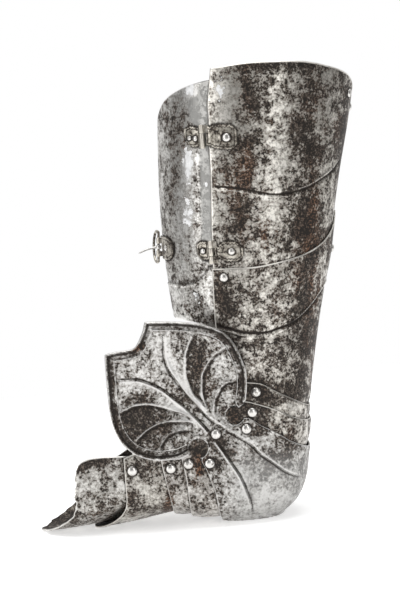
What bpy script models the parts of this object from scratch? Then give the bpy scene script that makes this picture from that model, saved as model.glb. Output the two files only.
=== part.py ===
"""A gothic leg harness of plate armour, standing on its bent knee.

The leg frame has the thigh upright: +X is the front of the thigh, -Y the outer side of the leg,
+Z up the thigh, in millimetres. The whole harness then leans forward by LEAN, which brings the
underside of the knee flat on the ground. The origin is the middle of the face that it rests on.
"""

import math

import bmesh
import bpy
import numpy as np
from mathutils import Matrix, Vector

MM = 0.001

# Driving dimensions.
PLATE = 1.3  # wall of the thigh plates and the lames
KNEE_PLATE = 1.5  # wall of the poleyn
GAP = 0.6  # play between plates that lie over each other
FIT = 0.3  # play of rivets, hinges and fittings
LAYER = PLATE + GAP
LEAN = math.radians(4.8)
REST_POINT = (5.0, 0.0, 2.6)  # the middle of the resting face, in the leg frame

# Thigh: the front and back limb of the tube and its half width at each height.
THIGH = (
    # height, front, back, half width
    (134.1, 66.6, -49.0, 57.0),
    (147.0, 67.8, -54.8, 57.0),
    (180.0, 71.6, -69.5, 63.0),
    (227.0, 78.4, -79.2, 69.0),
    (267.0, 85.8, -84.6, 72.5),
    (310.0, 90.6, -88.5, 76.0),
    (346.0, 95.2, -90.2, 79.0),
    (395.0, 103.1, -91.0, 82.0),
    (428.0, 107.5, -90.4, 84.0),
    (460.0, 111.0, -89.4, 85.5),
)
# Edges that run round the thigh: an angle from the front, + on the outer side, and a height.
UPPER_TOP = (
    (-96, 398), (-60, 404), (-30, 414), (0, 428), (12, 436), (28, 445), (45, 451), (68, 456),
    (90, 455), (118, 448),
)
UPPER_FOOT = (
    (-96, 238), (-66, 249), (-20, 262), (20, 262), (47, 257), (66, 249), (90, 243), (118, 240),
)
LOWER_TOP = (
    (-96, 252), (-67, 263), (-47, 271), (-32, 280), (-18, 291), (-8, 300), (0, 309), (8, 300),
    (18, 291), (32, 280), (47, 271), (67, 263), (90, 257), (118, 255),
)
SIDE_TOP = ((108, 440), (121, 437), (136, 431), (158, 418), (176, 402), (190, 394))
SIDE_FOOT = ((108, 194), (118, 196.5), (135, 200.5), (155, 201.5), (190, 202))
# The outer back edge of the front plates, and the inner edge, as angles by height.
OUTER_EDGE = (
    (143, 108), (155, 109), (175, 112.5), (200, 114), (267, 113.8), (332, 114), (399, 117), (460, 116),
)
INNER_EDGE = ((143, 106), (155, 104), (175, 103), (460, 102))
SIDE_EDGES = (111.3, 188.0)  # the side plate's front and back edges
TAB = 10.5  # radius of the lower plate's tab round each pivot
TUCK = math.radians(34.0)  # how far the lower plate runs on under lame a, about the pivots

# Pivots of the knee on the outer side, in the side view: forward and up.
PIVOT_CUISSE = (9.6, 134.1)
PIVOT_A = (6.0, 114.3)
PIVOT_B = (0.5, 98.4)
NECK = (-29.5, 93.1)
PIVOT_C = (-35.4, 64.2)
PIVOT_D = (-56.2, 63.3)
PIVOT_SHIN = (-73.5, 58.5)
PIVOT_GREAVE = (-111.4, 55.8)

# Layers of the knee from the inside out: half widths of the outer faces.
WIDTH_CUISSE = 57.0
WIDTH_A = WIDTH_CUISSE + LAYER
WIDTH_B = WIDTH_A + LAYER
WIDTH_POLEYN = WIDTH_B + GAP + KNEE_PLATE
WIDTH_C = WIDTH_B
WIDTH_D = WIDTH_A
WIDTH_SHIN = WIDTH_CUISSE
WIDTH_GREAVE = WIDTH_SHIN - LAYER

# The sides are flat this far from the plate's pivot, and round from there to the front.
FLAT_CUISSE = 10.0
FLAT_A = 24.0
FLAT_B = 33.0
FLAT_POLEYN = 64.0  # from the neck
FLAT_C = 35.0
FLAT_D = 26.0
ROUNDING = 2.5
PRESS = 2.0  # the underside of the knee is flattened where it is lower than this

# The poleyn: reach of its outline from the neck, by direction in degrees from forward.
KNEE_REACH = (
    (-92, 90.5), (-78, 95.5), (-65, 101.5), (-57, 107), (-50, 110), (-43, 110), (-36, 108),
    (-26, 103), (-17, 98.5), (-8, 96.5),
)
# Its upper edge over lame b, and its lower edge over lame c, by distance from the neck.
KNEE_TOP = ((16, 32), (28, 32), (33, 29), (46, 10), (64, -1), (73, -5), (96, -10.5))
KNEE_FOOT = ((16, -120), (28, -119), (36, -105), (45, -97), (60, -90), (91, -86))
# The wing's outline about the neck, in the side view, from its front foot round to its back foot.
WING = (
    # forward, up
    (-1, 127), (0.5, 142), (0, 155), (-5, 170), (-12, 184), (-22, 194.5), (-35, 200.5),
    (-51, 204), (-74, 205.5), (-98, 205), (-101, 195), (-110, 179), (-128, 175.5),
    (-137.5, 172), (-136, 148), (-133.5, 120), (-129.5, 102), (-121.5, 86), (-111, 76),
    (-99, 70.5), (-85, 68), (-68, 69.5), (-56, 74),
)
NOTCHES = (((-10.9, 111.8), 9.3), ((-46.7, 78.9), 9.8))  # centre and radius of the round notches
KNEE_COLUMNS = 12
DISC = 28.0  # reach of the flat round of the neck, from which the wing and the knee spread
WING_FLARE = 15.0  # how far the wing's top stands out from the leg
# Rows of the wing: share of the way from the neck to the outline, and height of the raised rim.
WING_ROWS = (
    (0.0, 0.0), (0.22, 0.0), (0.45, 0.0), (0.68, 0.0), (0.86, -0.8), (0.93, 0.6), (0.965, 2.2),
    (1.0, 2.0),
)

# Hinges: the axis is a straight line through both barrels.
AXIS_TOP_HEIGHT = 383.0
AXIS_FOOT_HEIGHT = 267.0
AXIS_TOP_ANGLE = 119.8
AXIS_FOOT_ANGLE = 113.6
AXIS_LIFT = 1.4  # height of the axis over the lower front plate's face
BARREL = 2.4
PIN = 1.15
LEAF = 1.2
LEAF_LIFT = LEAF + 0.6  # outer face of a leaf over the plate it lies on

# Buckle: its bar stands behind the half-round plate that carries it.
BUCKLE_AXIS_ANGLE = 181.0
BUCKLE_HEIGHT = 272.0
BUCKLE_LIFT = 3.2
WIRE = 1.3  # radius of the buckle's wire

RIVET_STEPS = 8
FINGER = 12  # sides of the small barrels and their bores


# Small helpers ---------------------------------------------------------------------------------


def read(table, at, column=1):
    """A value from a table whose first column rises."""
    return float(np.interp(at, [row[0] for row in table], [row[column] for row in table]))


def blend(low, high, at):
    """0 below low, 1 above high, and smooth between."""
    share = min(max((at - low) / (high - low), 0.0), 1.0)
    return share * share * (3 - 2 * share)


def depth_share(reach, flat, front):
    """Share of the half width at a reach from the pivot: 1 on the flat side, 0 at the front."""
    share = min(max((reach - flat) / (front - flat), 0.0), 1.0)
    return math.sqrt(max(1 - share**ROUNDING, 0.0))


def toward(direction):
    """The unit step in the side view at an angle in degrees from forward."""
    return math.cos(math.radians(direction)), math.sin(math.radians(direction))


def steel(name, colour, roughness):
    """A plain metal for one piece."""
    material = bpy.data.materials.new(name)
    material.use_nodes = True
    shader = material.node_tree.nodes["Principled BSDF"]
    shader.inputs["Base Color"].default_value = (*colour, 1.0)
    shader.inputs["Roughness"].default_value = roughness
    shader.inputs["Metallic"].default_value = 1.0
    return material


WORN = ((0.50, 0.48, 0.46), 0.38)
BRIGHT = ((0.62, 0.61, 0.59), 0.26)
DARK = ((0.34, 0.32, 0.30), 0.45)


def make_object(name, mesh, body, finish=WORN):
    """Puts a mesh, drawn in the leg frame, on its body's pivot and gives it a material of its own."""
    piece = bpy.data.objects.new(name, mesh)
    harness.objects.link(piece)
    mesh.materials.clear()
    mesh.materials.append(steel(name + "_steel", *finish))
    mesh.transform(Matrix.Translation(-Vector(pivots[body])))
    mesh.transform(Matrix.Scale(MM, 4))
    mesh.shade_smooth()
    mesh.set_sharp_from_angle(angle=math.radians(35))
    piece.parent = empties[body]
    return piece


def grid_mesh(grids, middle):
    """One mesh from grids of points that share their edges, facing away from the middle."""
    mesh = bpy.data.meshes.new("plate")
    work = bmesh.new()
    for grid in grids:
        rows = [[work.verts.new(point) for point in row] for row in grid]
        for low, high in zip(rows, rows[1:]):
            for a, b, c, d in zip(low, low[1:], high[1:], high):
                if len({tuple(v.co) for v in (a, b, c, d)}) > 2:
                    work.faces.new((a, b, c, d))
    bmesh.ops.remove_doubles(work, verts=work.verts, dist=0.01)
    bmesh.ops.recalc_face_normals(work, faces=work.faces)
    outward = 0.0
    for face in work.faces:
        outward += face.normal.dot(face.calc_center_median() - Vector(middle)) * face.calc_area()
    if outward < 0:
        bmesh.ops.reverse_faces(work, faces=work.faces)
    work.to_mesh(mesh)
    work.free()
    return mesh


def plate(name, grids, body, wall, middle=(0, 0, 150), finish=WORN):
    """A sheet of steel: an open surface that faces away from the middle, with its wall inward."""
    piece = make_object(name, grid_mesh(grids, middle), body, finish)
    skin = piece.modifiers.new("wall", "SOLIDIFY")
    skin.thickness = wall * MM
    skin.offset = -1
    skin.use_even_offset = True
    return piece


def cylinder_mesh(radius, low, high, steps, tip=None):
    """A closed cylinder between two points, or a cone where the tip has a radius of its own."""
    mesh = bpy.data.meshes.new("cylinder")
    work = bmesh.new()
    run = Vector(high) - Vector(low)
    turn = run.to_track_quat("Z", "Y").to_matrix().to_4x4()
    at = Matrix.Translation((Vector(low) + Vector(high)) / 2) @ turn
    ends = {"radius1": radius, "radius2": radius if tip is None else tip}
    bmesh.ops.create_cone(work, cap_ends=True, segments=steps, depth=run.length, matrix=at, **ends)
    work.to_mesh(mesh)
    work.free()
    return mesh


def bar_mesh(start, end, upright, tall, thick):
    """A closed flat bar between two points, tall along the upright direction."""
    run = end - start
    across = run.normalized()
    over = across.cross(upright).normalized()
    turn = Matrix((across, over.cross(across), over)).transposed().to_4x4()
    work = bmesh.new()
    bmesh.ops.create_cube(work, size=1.0)
    work.transform(Matrix.Translation(start + run / 2) @ turn @ Matrix.Diagonal((run.length, tall, thick, 1)))
    mesh = bpy.data.meshes.new("bar")
    work.to_mesh(mesh)
    work.free()
    return mesh


def helper(name, mesh):
    """A cutter or a piece to be joined: drawn in the leg frame, left out of the model."""
    thing = bpy.data.objects.new(name, mesh)
    cutters.objects.link(thing)
    mesh.transform(Matrix.Scale(MM, 4))
    thing.parent = empties["leg"]
    thing.hide_render = True
    thing.display_type = "WIRE"
    return thing


def boolean(piece, thing, operation="DIFFERENCE"):
    """Cuts a helper from a piece, or joins it."""
    step = piece.modifiers.new(operation.lower() + "_" + thing.name, "BOOLEAN")
    step.operation = operation
    step.object = thing


# Thigh -----------------------------------------------------------------------------------------


def thigh_point(angle, height, inward=0.0):
    """A point of the thigh's outer face: an oval above, squarer at the knee's pivots."""
    front = read(THIGH, height, 1) - inward
    back = read(THIGH, height, 2) + inward
    width = read(THIGH, height, 3) - inward
    turn = math.radians(angle)
    forward = (front + back) / 2 + (front - back) / 2 * math.cos(turn)
    oval = width * abs(math.sin(turn))
    reach = max(forward - PIVOT_CUISSE[0], 0.0)
    square = width * depth_share(reach, FLAT_CUISSE, front - PIVOT_CUISSE[0])
    square_share = 1 - blend(146.0, 200.0, height)
    side = oval + (square - oval) * square_share
    return forward, -math.copysign(side, math.sin(turn)), height


def thigh_normal(angle, height):
    """The outward direction of the thigh's outer face."""
    across = Vector(thigh_point(angle + 1, height)) - Vector(thigh_point(angle - 1, height))
    along = Vector(thigh_point(angle, height + 2)) - Vector(thigh_point(angle, height - 2))
    return across.cross(along).normalized() * -1


def on_thigh(angle, height, lift):
    """A point over the thigh's outer face, measured square to it."""
    return Vector(thigh_point(angle, height)) + thigh_normal(angle, height) * lift


def thigh_sheet(top, foot, edges, columns, rows, inward=0.0):
    """A plate of the thigh between two edges by height and two edges by angle."""
    grid = []
    for row in range(rows + 1):
        share = row / rows
        line = []
        for column in range(columns + 1):
            place = column / columns
            angle = edges[0] + (edges[1] - edges[0]) * place
            height = read(foot, angle) * (1 - share) + read(top, angle) * share
            low = -read(INNER_EDGE, height) if edges[0] < 0 else edges[0]
            high = read(OUTER_EDGE, height) if edges[0] < 0 else edges[1]
            line.append(thigh_point(low + (high - low) * place, height, inward))
        grid.append(line)
    return grid


def lower_cuisse_grid():
    """The lower thigh plate: it narrows to its pivots and turns under lame a about them."""
    columns = 32
    foot_rows = 3
    heights = (0.0, 0.07, 0.17, 0.32, 0.52, 0.76, 1.0)
    middle, pivot_height = PIVOT_CUISSE
    front, back = read(THIGH, pivot_height, 1), read(THIGH, pivot_height, 2)
    tab_angle = math.degrees(math.acos((middle - TAB - (front + back) / 2) / ((front - back) / 2)))
    grid = []

    def place_angle(place, height):
        ease = 1 - blend(pivot_height, 176.0, height)
        low = -read(INNER_EDGE, height) * (1 - ease) - tab_angle * ease
        high = read(OUTER_EDGE, height) * (1 - ease) + tab_angle * ease
        return low + (high - low) * place

    for row in range(foot_rows, 0, -1):
        line = []
        for column in range(columns + 1):
            angle = place_angle(column / columns, pivot_height)
            forward, side, _ = thigh_point(angle, pivot_height)
            reach = forward - middle
            turn = TUCK * row / foot_rows
            if reach > TAB:
                line.append((middle + reach * math.cos(turn), side, pivot_height - reach * math.sin(turn)))
            else:
                low = max(reach * math.sin(TUCK), math.sqrt(max(TAB**2 - reach**2, 0.0)))
                line.append((forward, side, pivot_height - low * row / foot_rows))
        grid.append(line)
    for share in heights:
        line = []
        for column in range(columns + 1):
            place = column / columns
            angle = -95 + 208.8 * place
            height = pivot_height + (read(LOWER_TOP, angle) - pivot_height) * share
            line.append(thigh_point(place_angle(place, height), height))
        grid.append(line)
    return grid


# Knee and shin ---------------------------------------------------------------------------------


def along(line, count):
    """Points at even steps along a line of points in the side view."""
    points = np.array(line, float)
    run = np.concatenate([[0], np.cumsum(np.linalg.norm(np.diff(points, axis=0), axis=1))])
    at = np.linspace(0, run[-1], count)
    return np.stack([np.interp(at, run, points[:, axis]) for axis in (0, 1)], axis=1)


def crossing(line, pivot, reach):
    """Direction from the pivot, in degrees, where the last stretch of a line is at this reach."""
    points = along(line, 400)
    offset = points - np.array(pivot)
    distance = np.hypot(offset[:, 0], offset[:, 1])
    inside = np.nonzero(distance < reach)[0]
    last = min(inside[-1] if len(inside) else 0, len(points) - 2)
    return math.degrees(math.atan2(offset[last + 1, 1], offset[last + 1, 0]))


def both_sides(half):
    """The outer half and its mirror on the inner side, joined at the middle column."""
    full = []
    for row in half:
        inner = [(x, -y, z) for x, y, z in row[-2::-1]]
        full.append(list(row) + inner)
    return full


def lame_grid(pivot, fronts, width, flat, edges, rows=2, start=32.0, side_columns=4, round_columns=8):
    """A band that turns about its pivot: arcs of the pivot's circles between its two edges.

    fronts are the front radius at the first and the last edge. edges are the two edges in the
    side view, each from the band's end by the pivot to its middle.
    """
    first, last = edges
    flats = []
    for edge in (first, last):
        points = along(edge, 400)
        distance = np.hypot(points[:, 0] - pivot[0], points[:, 1] - pivot[1])
        inside = np.nonzero(distance < start)[0]
        end = points[: (inside[-1] if len(inside) else 1) + 1]
        flats.append(along(end, side_columns + 1)[:-1])
    half = []
    for row in range(rows + 1):
        share = row / rows
        front = fronts[0] + (fronts[1] - fronts[0]) * share
        line = []
        for a, b in zip(*flats):
            x, z = a + (b - a) * share
            reach = math.hypot(x - pivot[0], z - pivot[1])
            line.append((x, -width * depth_share(reach, flat, front), z))
        begin = math.asin((start - flat) / (front - flat))
        for step in range(round_columns + 1):
            turn = begin + (math.pi / 2 - begin) * step / round_columns
            reach = flat + (front - flat) * math.sin(turn)
            a = crossing(first, pivot, reach)
            b = crossing(last, pivot, reach)
            ahead, up = toward(a + ((b - a + 180) % 360 - 180) * share)
            side = -width * depth_share(reach, flat, front) if step < round_columns else 0.0
            line.append((pivot[0] + reach * ahead, side, pivot[1] + reach * up))
        half.append(line)
    return both_sides(half)


def gutter_grid(rows, columns=8):
    """A gutter along the shin.

    Each row: its top, the start of its rounding, its keel, a half width, how late the rounding
    runs out to the keel, and how much lower the inner side's top is.
    """
    grid = []
    for top, shoulder, keel, width, late, drop in rows:
        line = []
        for step in range(columns + 1):
            turn = math.pi / 2 * step / columns
            share = math.sin(turn)
            x = shoulder[0] + (keel[0] - shoulder[0]) * share**late
            z = shoulder[1] + (keel[1] - shoulder[1]) * share
            side = -width * math.sqrt(max(1 - share**ROUNDING, 0.0)) if step < columns else 0.0
            line.append((x, side, z))
        ends = []
        for side, up in ((-width, top[1]), (width, top[1] - drop)):
            middle = ((top[0] + shoulder[0]) / 2, side, (up + shoulder[1]) / 2)
            ends.append([(top[0], side, up), middle])
        inner = [(x, -y, z) for x, y, z in line[-2::-1]]
        grid.append(ends[0] + line + inner + ends[1][::-1])
    return grid


def rested(point):
    """Keeps a point of the poleyn on or above the plane that the harness rests on."""
    normal = Vector((-math.sin(LEAN), 0, math.cos(LEAN)))
    rise = (Vector(point) - Vector(REST_POINT)).dot(normal)
    kept = rise if rise > 2 * PRESS else max(2 * (rise - PRESS), 0.0)
    return tuple(Vector(point) + normal * (kept - rise))


def poleyn_grids():
    """The round of the neck, the wing that spreads up and back from it, and the cop of the knee."""
    neck = np.array(NECK)
    wing = [np.array(point, float) for point in WING]
    wing_directions = []
    for x, z in wing:
        wing_directions.append(math.degrees(math.atan2(z - neck[1], x - neck[0])) % 360)
    knee_start = read(KNEE_TOP, DISC)
    knee_end = read(KNEE_FOOT, DISC)
    knee_directions = np.linspace(knee_start, knee_end, KNEE_COLUMNS + 1)
    ring = [knee_start, 40.0] + wing_directions + [228.0] + [d + 360 for d in knee_directions[::-1]]
    disc = []
    for reach in (2.8, 14.0, DISC):
        line = []
        for direction in ring:
            ahead, up = toward(direction)
            line.append((neck[0] + reach * ahead, -WIDTH_POLEYN, neck[1] + reach * up))
        disc.append(line)

    spread = []
    for share, rim in WING_ROWS:
        line = []
        for direction, point in zip(wing_directions, wing):
            ahead, up = toward(direction)
            start = neck + DISC * np.array((ahead, up))
            x, z = start + (point - start) * share
            rise = 0.55 + 0.45 * math.sin(math.radians(direction - 25))  # the top flares most
            lift = WING_FLARE * share**1.6 * rise
            line.append((x, -WIDTH_POLEYN - lift - rim, z))
        spread.append(line)

    outer = (DISC, 41.0)  # reaches on the flat side
    turns = [i / 7 * math.pi / 2 for i in range(8)]
    cop = []
    for index in range(len(outer) + len(turns)):
        line = []
        for column in range(KNEE_COLUMNS + 1):
            place = column / KNEE_COLUMNS
            direction = 0.0
            reach = DISC
            for _ in range(3):
                if index < len(outer):
                    reach = outer[index]
                else:
                    front = read(KNEE_REACH, direction)
                    reach = FLAT_POLEYN + (front - FLAT_POLEYN) * math.sin(turns[index - len(outer)])
                direction = read(KNEE_TOP, reach) * (1 - place) + read(KNEE_FOOT, reach) * place
            side = WIDTH_POLEYN
            if index >= len(outer):
                share = math.sin(turns[index - len(outer)])
                side = WIDTH_POLEYN * math.sqrt(max(1 - share**ROUNDING, 0.0))
            ahead, up = toward(direction)
            line.append((neck[0] + reach * ahead, -side, neck[1] + reach * up))
        cop.append(line)
    inner = [[(x, -y, z) for x, y, z in line] for line in cop[-2::-1]]
    end = []
    for column in range(KNEE_COLUMNS + 1):
        place = column / KNEE_COLUMNS
        direction = read(KNEE_TOP, 18.0) * (1 - place) + read(KNEE_FOOT, 18.0) * place
        ahead, up = toward(direction)
        end.append((neck[0] + 18.0 * ahead, WIDTH_POLEYN, neck[1] + 18.0 * up))
    cop = cop + inner + [end]
    cop = [[rested(point) for point in line] for line in cop]
    return [disc, spread, cop]


# Fittings --------------------------------------------------------------------------------------


def rivet(name, at, outward, body, head=4.8, shank=2.2, through=2 * PLATE + GAP):
    """A domed rivet: head outside, shank through the plates, and its end spread on the inside.

    at is on the outer face of the outer plate, and outward points away from it.
    """
    rise = head * 0.5
    end = through + 2 * FIT
    profile = (
        (0, rise), (head * 0.66, rise * 0.72), (head, 0), (shank, 0),
        (shank, -end), (shank + 1.4, -end), (0, -end - 0.9),
    )
    mesh = bpy.data.meshes.new(name)
    edges = [(i, i + 1) for i in range(len(profile) - 1)]
    mesh.from_pydata([(x, 0, z) for x, z in profile], edges, [])
    piece = bpy.data.objects.new(name, mesh)
    harness.objects.link(piece)
    mesh.transform(Matrix.Scale(MM, 4))
    mesh.materials.append(steel(name + "_steel", *BRIGHT))
    turn = piece.modifiers.new("turn", "SCREW")
    turn.steps = RIVET_STEPS
    turn.render_steps = RIVET_STEPS
    turn.use_merge_vertices = True
    turn.merge_threshold = 0.00001
    turn.use_smooth_shade = True
    outward = Vector(outward).normalized()
    piece.parent = empties[body]
    piece.rotation_euler = outward.to_track_quat("Z", "Y").to_euler()
    piece.location = (Vector(at) + outward * FIT - Vector(pivots[body])) * MM
    return piece


def hole(at, outward, radius=2.7, deep=9.0, proud=3.0):
    """A round hole for a rivet's shank, cut later from every plate that it meets."""
    outward = Vector(outward).normalized()
    low = Vector(at) - outward * deep
    high = Vector(at) + outward * proud
    hole_meshes.append(cylinder_mesh(radius, low, high, 8))


def pivot_pair(name, pivot, width, body, through):
    """The outer and the inner rivet of one joint of the plates, with their holes."""
    for side, word in ((-1, "outer"), (1, "inner")):
        at = (pivot[0], side * width, pivot[1])
        rivet(f"{name}_{word}_rivet", at, (0, side, 0), body, through=through)
        hole(at, (0, side, 0), deep=6.0)


def leaf_grid(outline, side, lift, inward):
    """A hinge leaf that lies on the thigh. outline: distance from the axis, half height, middle height."""
    grid = []
    for away, half, middle in outline:
        line = []
        for share in (-1.0, -0.5, 0.5, 1.0):
            height = middle + half * share
            top = (height - AXIS_FOOT_HEIGHT) / (AXIS_TOP_HEIGHT - AXIS_FOOT_HEIGHT)
            axis_angle = AXIS_FOOT_ANGLE + (AXIS_TOP_ANGLE - AXIS_FOOT_ANGLE) * top
            angle = axis_angle - side * math.degrees(away / read(THIGH, height, 3)) * 1.02
            line.append(on_thigh(angle, height, lift - inward))
        grid.append(line)
    return grid


def axis_point(height):
    """A point of the hinges' common axis."""
    top = on_thigh(AXIS_TOP_ANGLE, AXIS_TOP_HEIGHT, AXIS_LIFT)
    foot = on_thigh(AXIS_FOOT_ANGLE, AXIS_FOOT_HEIGHT, AXIS_LIFT)
    return foot + (top - foot) * (height - AXIS_FOOT_HEIGHT) / (AXIS_TOP_HEIGHT - AXIS_FOOT_HEIGHT)


def hinge(name, middle, fronts, backs, front_outline, back_outline):
    """Front leaf, back leaf and pin. fronts and backs are the height ranges of their knuckles."""
    low = min(ends[0] for ends in fronts + backs)
    high = max(ends[1] for ends in fronts + backs)
    upright = (axis_point(high) - axis_point(low)).normalized()
    for word, side, inward, outline, ranges, body in (
        ("front_leaf", 1, LAYER, front_outline, fronts, "cuisse"),
        ("back_leaf", -1, 2 * LAYER, back_outline, backs, "side_plate"),
    ):
        outline = [(away, half, middle + rise) for away, half, rise in outline]
        grid = leaf_grid(outline, side, LEAF_LIFT, inward)
        leaf = plate(f"{name}_{word}", [grid], body, LEAF, finish=DARK, middle=(0, 0, middle))
        for index, (foot, top) in enumerate(ranges):
            barrel = cylinder_mesh(BARREL, axis_point(foot), axis_point(top), FINGER)
            boolean(leaf, helper(f"{name}_{word}_knuckle_{index}", barrel), "UNION")
            reach = leaf_grid([(5.0, 0, (foot + top) / 2)], side, LEAF_LIFT - LEAF / 2, inward)[0][0]
            neck = bar_mesh(axis_point((foot + top) / 2), reach, upright, top - foot - 0.8, LEAF)
            boolean(leaf, helper(f"{name}_{word}_neck_{index}", neck), "UNION")
        bore = cylinder_mesh(PIN + FIT, axis_point(low - 2), axis_point(high + 2), FINGER)
        boolean(leaf, helper(f"{name}_{word}_bore", bore))
        cuts.append(leaf)
    pin = cylinder_mesh(PIN, axis_point(low - 0.8), axis_point(high + 0.8), 10)
    make_object(f"{name}_pin", pin, "cuisse", BRIGHT)


def side_point(pivot):
    """A pivot of the side view as a point on the leg's middle plane."""
    return (pivot[0], 0.0, pivot[1])


def buckle_bar(height):
    """A point of the buckle's upright bar."""
    return Vector((buckle_axis[0], buckle_axis[1], height))


def wire(name, points, radius, body):
    """A closed loop of wire, as a mesh."""
    curve = bpy.data.curves.new(name, "CURVE")
    curve.dimensions = "3D"
    curve.bevel_depth = radius
    curve.bevel_resolution = 2
    spline = curve.splines.new("POLY")
    spline.points.add(len(points) - 1)
    for target, point in zip(spline.points, points):
        target.co = (*point, 1)
    spline.use_cyclic_u = True
    drawn = bpy.data.objects.new(name + "_curve", curve)
    bpy.context.scene.collection.objects.link(drawn)
    mesh = bpy.data.meshes.new_from_object(drawn.evaluated_get(bpy.context.evaluated_depsgraph_get()))
    bpy.data.objects.remove(drawn)
    work = bmesh.new()
    work.from_mesh(mesh)
    bmesh.ops.remove_doubles(work, verts=work.verts, dist=0.001)
    work.to_mesh(mesh)
    work.free()
    return make_object(name, mesh, body, BRIGHT)


# The model -------------------------------------------------------------------------------------

for thing in list(bpy.data.objects):
    bpy.data.objects.remove(thing)
harness = bpy.data.collections.new("gothic_leg_harness")
cutters = bpy.data.collections.new("cutters")
bpy.context.scene.collection.children.link(harness)
bpy.context.scene.collection.children.link(cutters)
cuts = []
hole_meshes = []

buckle_axis = on_thigh(BUCKLE_AXIS_ANGLE, BUCKLE_HEIGHT, BUCKLE_LIFT - LAYER)


# Every body of the chain, its parent, and the point that it turns about.
BODIES = (
    ("leg", None, (0.0, 0.0, 0.0)),
    ("poleyn", "leg", (0.0, 0.0, 0.0)),
    ("lame_b", "poleyn", side_point(PIVOT_B)),
    ("lame_a", "lame_b", side_point(PIVOT_A)),
    ("cuisse", "lame_a", side_point(PIVOT_CUISSE)),
    ("side_plate", "cuisse", tuple(axis_point((AXIS_TOP_HEIGHT + AXIS_FOOT_HEIGHT) / 2))),
    ("buckle_frame", "side_plate", tuple(buckle_axis)),
    ("buckle_tongue", "side_plate", tuple(buckle_axis)),
    ("lame_c", "poleyn", side_point(PIVOT_C)),
    ("lame_d", "lame_c", side_point(PIVOT_D)),
    ("shin", "lame_d", side_point(PIVOT_SHIN)),
    ("greave", "shin", side_point(PIVOT_GREAVE)),
)
pivots = {name: point for name, _, point in BODIES}
empties = {}
for body_name, parent_name, point in BODIES:
    empty = bpy.data.objects.new(body_name + "_pivot", None)
    harness.objects.link(empty)
    empty.empty_display_size = 0.01
    if parent_name:
        empty.parent = empties[parent_name]
        empty.location = (Vector(point) - Vector(pivots[parent_name])) * MM
    empties[body_name] = empty
empties["leg"].rotation_euler = (0, LEAN, 0)
empties["leg"].location = -(Matrix.Rotation(LEAN, 3, "Y") @ Vector(REST_POINT)) * MM

# Thigh plates.
upper_grid = thigh_sheet(UPPER_TOP, UPPER_FOOT, (-95, 116), 32, 4, LAYER)
cuts.append(plate("upper_cuisse_plate", [upper_grid], "cuisse", PLATE))
cuts.append(plate("lower_cuisse_plate", [lower_cuisse_grid()], "cuisse", PLATE))
side_grid = thigh_sheet(SIDE_TOP, SIDE_FOOT, SIDE_EDGES, 12, 7, 2 * LAYER)
cuts.append(plate("side_plate", [side_grid], "side_plate", PLATE))

# Lames between the thigh and the knee: upper edge and hidden lower edge.
A_TOP = ((-8, 140), (0, 143.5), (13, 142.5), (27, 136), (46, 127), (65.4, 116))
A_FOOT = ((-9, 107), (4, 103), (13, 103), (27, 100), (44, 94), (59.5, 86.5))
grid = lame_grid(PIVOT_A, (59.4, 59.4), WIDTH_A, FLAT_A, (A_TOP, A_FOOT))
cuts.append(plate("lame_a", [grid], "lame_a", PLATE))
B_TOP = ((-24, 121), (-12, 125.5), (0, 125), (11, 122.5), (26, 118), (38, 113), (50, 108), (66.2, 102.5))
B_FOOT = ((-24, 98), (-12, 87), (0, 85.5), (14, 82), (30, 77), (45, 70), (61, 66))
grid = lame_grid(PIVOT_B, (65.8, 65.8), WIDTH_B, FLAT_B, (B_TOP, B_FOOT), start=35.0)
cuts.append(plate("lame_b", [grid], "lame_b", PLATE))

# The poleyn with its wing.
poleyn = plate("poleyn", poleyn_grids(), "poleyn", KNEE_PLATE, middle=(-20, 0, 90))
cuts.append(poleyn)

# Lames below the knee: hidden forward edge and visible back edge.
C_FRONT = ((-36, 90), (-27, 77), (-24, 60), (-20, 48), (-16, 34), (-11, 8))
C_BACK = ((-62, 88), (-63, 70), (-59, 52), (-57, 39), (-55, 22), (-53, 3.2))
grid = lame_grid(PIVOT_C, (61.0, 63.4), WIDTH_C, FLAT_C, (C_FRONT, C_BACK), start=36.0)
cuts.append(plate("lame_c", [grid], "lame_c", PLATE))
D_FRONT = ((-46.5, 74), (-46, 62), (-45, 50), (-44, 35), (-42, 20), (-41, 8))
D_BACK = ((-84, 74), (-82.5, 62), (-79.5, 50), (-76, 36), (-73, 23), (-70, 4.9))
grid = lame_grid(PIVOT_D, (56.6, 60.0), WIDTH_D, FLAT_D, (D_FRONT, D_BACK), start=28.0)
cuts.append(plate("lame_d", [grid], "lame_d", PLATE))

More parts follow.
